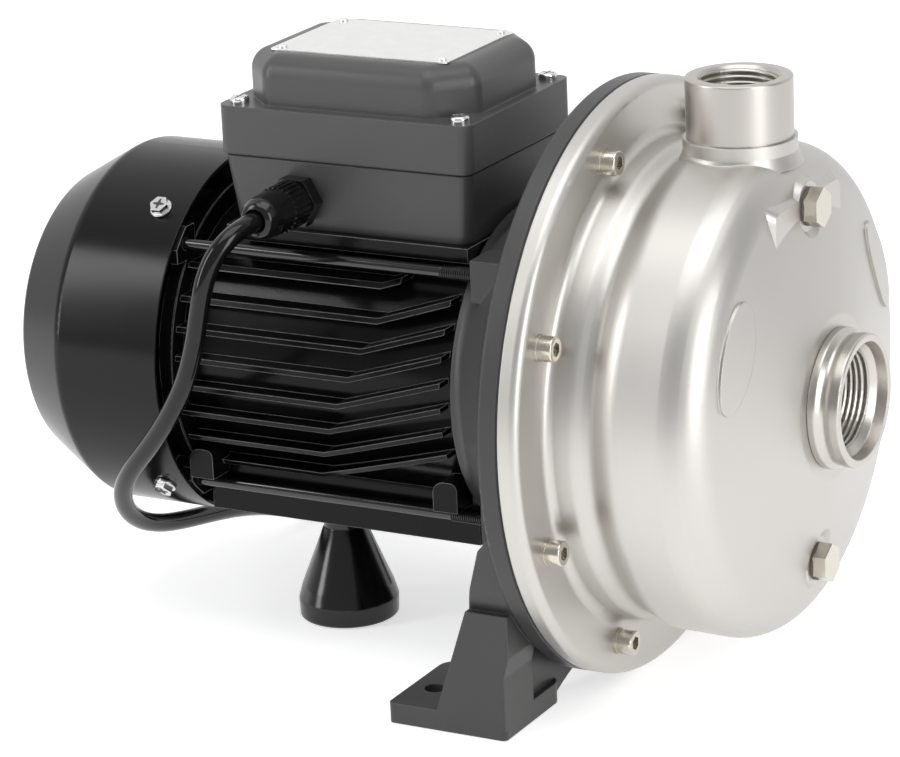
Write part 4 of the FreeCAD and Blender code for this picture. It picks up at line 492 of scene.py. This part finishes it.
# %% Steel finishes
shaft_axis = tuple(at(0))
discharge_axis = tuple(at(DISCHARGE_X))
satin_steel = finish("satin_stainless", (0.54, 0.523, 0.497), 0.42, 1.0, change=0.06, rough_change=0.1, patch=16,
                     grain_size=1600, grain_depth=0.004, lines=(shaft_axis, (0, 1, 1), 1800), line_depth=0.5)
turned_steel = finish("turned_stainless", (0.52, 0.496, 0.462), 0.3, 1.0, change=0.04, rough_change=0.05, patch=60,
                      grain_size=1500, grain_depth=0.008, lines=(shaft_axis, (0, 1, 1), 2600), line_depth=2.0)
turned_upright = finish("turned_stainless_upright", (0.49, 0.464, 0.436), 0.34, 1.0, change=0.04, rough_change=0.05,
                        patch=60, grain_size=1500, grain_depth=0.008,
                        lines=(discharge_axis, (1, 1, 0), 2600), line_depth=1.6)
nickel = finish("nickel_plate", (0.58, 0.545, 0.48), 0.2, 1.0, change=0.05, rough_change=0.08, patch=260,
                grain_size=1500, grain_depth=0.006, edge=0.0003)
zinc = finish("zinc_plate", (0.72, 0.72, 0.72), 0.2, 1.0, change=0.05, rough_change=0.08, patch=260,
              grain_size=1500, grain_depth=0.006, edge=0.0003)
shaft_steel = finish("ground_steel", (0.62, 0.62, 0.62), 0.22, 1.0, change=0.03, grain_size=1800, grain_depth=0.004,
                     lines=(shaft_axis, (0, 1, 1), 3500), line_depth=1.0)
bearing_steel = finish("bearing_steel", (0.7, 0.7, 0.7), 0.12, 1.0, change=0.02, rough_change=0.03,
                       grain_depth=0.001)
cast_brass = finish("cast_brass", (0.72, 0.54, 0.28), 0.38, 1.0, change=0.12, rough_change=0.12, patch=90,
                    grain_size=700, grain_depth=0.03)
lamination = finish("steel_laminations", (0.36, 0.36, 0.38), 0.45, 1.0, change=0.06, grain_depth=0.03,
                    lines=(shaft_axis, (0, 0, 0), 2200), line_depth=2.5)
copper = finish("enamelled_copper", (0.55, 0.22, 0.08), 0.35, 0.6, change=0.2, patch=300, grain_size=900,
                grain_depth=0.08, coat=0.5)
plate_metal = finish("rating_plate_metal", (0.81, 0.81, 0.8), 0.36, 1.0, change=0.08, rough_change=0.1, patch=160,
                     grain_size=900, grain_depth=0.006, edge=0.0002)
brass = finish("pin_brass", (0.8, 0.62, 0.3), 0.22, 1.0, change=0.04, grain_depth=0.003)
dress(satin_steel, "casing", "seal_plate")
dress(turned_steel, "suction_socket")
dress(turned_upright, "discharge_socket")
dress(zinc, "fan_cover_screws", "terminal_box_screws")
dress(nickel, "casing_screws", "casing_screw_washers", "priming_plug", "drain_plug", "tie_rod_nuts", "impeller_nut",
      "foot_screw", "run_capacitor")
dress(shaft_steel, "motor_shaft", "impeller_key", "seal_spring", "wave_spring", "fan_circlip")
dress(bearing_steel, "front_bearing_outer_ring", "front_bearing_inner_ring", "front_bearing_balls",
      "rear_bearing_outer_ring", "rear_bearing_inner_ring", "rear_bearing_balls")
dress(cast_brass, "impeller")
dress(lamination, "rotor_core", "stator_core")
dress(copper, "stator_winding")
dress(plate_metal, "rating_plate", "rating_plate_rivets")
dress(brass, "plug_pins")
print("materials so far:", len(bpy.data.materials))

# %% [markdown]
# ### Paint, rubber and plastic
# The bracket and the terminal box wear a dark grey enamel with a faint orange peel. The motor is gloss black over
# a cast surface, and the fan cover is smoother sheet. The cord, the gland and the rubber foot are black and smooth,
# so each carries one narrow highlight. The fins' edges carry a painted highlight, a pale colour where they catch the
# light.

# %% Painted, rubber and plastic finishes
grey_enamel = finish("grey_enamel", (0.046, 0.0455, 0.045), 0.42, change=0.1, rough_change=0.06, patch=40,
                     grain_size=1100, grain_depth=0.02, edge=0.0012, wear=0.3, worn=(0.17, 0.165, 0.16),
                     specular=0.35, coat=0.1, coat_roughness=0.3)
box_enamel = finish("box_enamel", (0.064, 0.0635, 0.0625), 0.38, change=0.08, rough_change=0.05, patch=30,
                    grain_size=1300, grain_depth=0.05, edge=0.001, wear=0.35, worn=(0.17, 0.17, 0.165),
                    specular=0.35, coat=0.1, coat_roughness=0.25)
# The pale worn colour on the motor's fins is a painted highlight along their edges.
black_cast = finish("black_enamel_on_casting", (0.004, 0.004, 0.0042), 0.18, change=0.15, rough_change=0.06,
                    patch=60, grain_size=700, grain_depth=0.02, waviness=1.2, edge=0.0005, wear=1.3,
                    worn=(0.42, 0.42, 0.42), specular=0.16)
black_sheet = finish("black_enamel_on_sheet", (0.005, 0.005, 0.0052), 0.2, change=0.1, rough_change=0.05, patch=25,
                     grain_size=1500, grain_depth=0.006, waviness=1.5, edge=0.0006, wear=0.3, worn=(0.12, 0.12, 0.12),
                     specular=0.24)
nylon = finish("black_nylon", (0.005, 0.005, 0.0052), 0.14, change=0.1, rough_change=0.03, grain_size=1400,
               grain_depth=0.002, edge=0.0004, specular=0.4)
fan_nylon = finish("fan_nylon", (0.06, 0.06, 0.062), 0.5, change=0.08, grain_depth=0.01, edge=0.0004)
rubber = finish("moulded_rubber", (0.004, 0.004, 0.004), 0.16, change=0.12, rough_change=0.05, grain_size=1200,
                grain_depth=0.003, edge=0.0008, specular=0.5)
seal_rubber = finish("seal_rubber", (0.02, 0.02, 0.02), 0.6, change=0.1, grain_depth=0.01)
jacket = finish("cord_jacket", (0.004, 0.004, 0.004), 0.12, change=0.1, rough_change=0.03, patch=80,
                grain_size=1500, grain_depth=0.001, edge=0.0001, specular=0.34)
gloss_black = finish("gloss_black_enamel", (0.004, 0.004, 0.004), 0.12, change=0.1, rough_change=0.03,
                     grain_depth=0.001, edge=0.0002, specular=0.7)
plug_plastic = finish("plug_plastic", (0.015, 0.015, 0.016), 0.34, change=0.08, grain_size=1300, grain_depth=0.012)
ceramic = finish("ceramic", (0.84, 0.82, 0.77), 0.3, change=0.02, grain_depth=0.002)
carbon = finish("carbon", (0.03, 0.03, 0.032), 0.4, change=0.1, grain_depth=0.005)
fibre = finish("vulcanised_fibre", (0.1, 0.08, 0.065), 0.5, change=0.1, grain_depth=0.01)
phenolic = finish("terminal_phenolic", (0.42, 0.36, 0.26), 0.5, change=0.1, grain_depth=0.02)
dress(grey_enamel, "bracket")
dress(box_enamel, "terminal_box_base", "terminal_box_lid")
dress(black_cast, "motor_frame", "rear_shield")
dress(gloss_black, "tie_rods")
dress(black_sheet, "fan_cover")
dress(nylon, "gland_body", "gland_nut", "gland_locknut", "cord_tie")
dress(fan_nylon, "cooling_fan")
dress(rubber, "cone_foot")
dress(seal_rubber, "rim_seal", "casing_seal", "terminal_box_gasket", "slinger", "gland_seal")
dress(plug_plastic, "mains_plug")
dress(ceramic, "seal_seat")
dress(carbon, "seal_head")
dress(phenolic, "terminal_block")
dress(fibre, "priming_plug_washer", "drain_plug_washer")
lead_data.materials.append(jacket)
print("finishes in all:", len(bpy.data.materials))

# %% [markdown]
# ## Screw threads
# Both ports carry a pipe thread, and the tie rods show theirs before they enter the bracket. The solids keep the
# plain bore, so the thread is one ridge laid along a helix: a small trapezium, carried round in short steps.

# %% A ridge along a helix


def thread(name, start, direction, radius, length, pitch, depth, material):
    """Ridge wound round an axis; a positive depth stands inward, as in a socket, a negative one outward."""
    along = Vector(direction).normalized()
    aside = along.orthogonal().normalized()
    across = along.cross(aside)
    # Corners of the ridge: outward from the bore in shares of the depth, forward in shares of the pitch.
    section = [(0.06, -0.46), (-1.0, -0.1), (-1.0, 0.1), (0.06, 0.46)]
    per_turn = 40
    count = int(length / pitch * per_turn)
    mesh = bmesh.new()
    rings = []
    for i in range(count + 1):
        angle = 2 * math.pi * i / per_turn
        # The ridge rises from nothing over its first half turn and sinks over its last.
        fade = min(1.0, i / per_turn * 2, (count - i) / per_turn * 2)
        out = aside * math.cos(angle) + across * math.sin(angle)
        ring = []
        for outward, forward in section:
            r = radius + depth * outward * (fade if outward < 0 else 1.0)
            place = start + out * r / 1000 + along * (pitch * (i / per_turn + 0.5 + forward)) / 1000
            ring.append(mesh.verts.new(place))
        rings.append(ring)
    for before, after in zip(rings, rings[1:]):
        for k in range(4):
            mesh.faces.new((before[k], before[(k + 1) % 4], after[(k + 1) % 4], after[k]))
    mesh.faces.new(rings[0][::-1])
    mesh.faces.new(rings[-1])
    return housing_piece(name, mesh, material)


# %% Threads of the ports and the tie rods
pipe_pitch, pipe_ridge = 2.309, 0.7
suction_thread = thread("suction_thread", at(75.8), (1, 0, 0), radius=19.5, length=14.0, pitch=pipe_pitch,
                        depth=pipe_ridge, material=turned_steel)
thread("discharge_thread", at(DISCHARGE_X, 0, 104.0), (0, 0, 1), radius=15.15, length=20.0, pitch=pipe_pitch,
       depth=pipe_ridge, material=turned_upright)
rod_offset = 50.5
sides = ((-1, 1), (1, 1), (-1, -1), (1, -1))
for number, (y, z) in enumerate(sides):
    thread("tie_rod_thread_%d" % number, at(-60.0, y * rod_offset, z * rod_offset), (1, 0, 0), radius=2.5,
           length=17.5, pitch=1.0, depth=-0.4, material=gloss_black)
print("thread faces in the suction socket:", len(suction_thread.data.polygons))

# %% [markdown]
# ## Cross recesses, painted as shade
# The fan cover's screws have a cross recess in their hexagon heads. Its shade is painted: a thin dark star sits in
# the face of each head and stands a hair proud of it, so no two faces lie in one plane.

# %% Painted shade of the cross recesses on the fan cover's screws
arm, half_width, waist = 2.5, 0.35, 0.7
screw_x, head_seat = -192.0, 77.2
star_bottom, star_top = 3.2, 3.64
screw_degrees = (36.0, 133.0, 227.0, 324.0)
star = bmesh.new()
outline = []
for quarter in range(4):
    for along, aside in ((arm, -half_width), (arm, half_width), (waist, waist)):
        angle = quarter * math.pi / 2 + math.atan2(aside, along)
        reach = math.hypot(along, aside)
        outline.append((reach * math.cos(angle), reach * math.sin(angle)))
for degrees in screw_degrees:
    outward = Vector((0, math.sin(math.radians(degrees)), math.cos(math.radians(degrees))))
    aside = Vector((1, 0, 0))
    across = outward.cross(aside)
    rings = []
    for height in (star_bottom, star_top):
        middle_of_head = at(screw_x) + outward * (head_seat + height) / 1000
        rings.append([star.verts.new(middle_of_head + (aside * a + across * b) / 1000) for a, b in outline])
    star.faces.new(rings[0][::-1])
    star.faces.new(rings[1])
    for k in range(len(outline)):
        following = (k + 1) % len(outline)
        star.faces.new((rings[0][k], rings[0][following], rings[1][following], rings[1][k]))
# The stars take the dark carbon finish as the painted shade of each recess.
screw_recesses = housing_piece("screw_recesses", star, carbon)
print("faces of the stars:", len(screw_recesses.data.polygons))
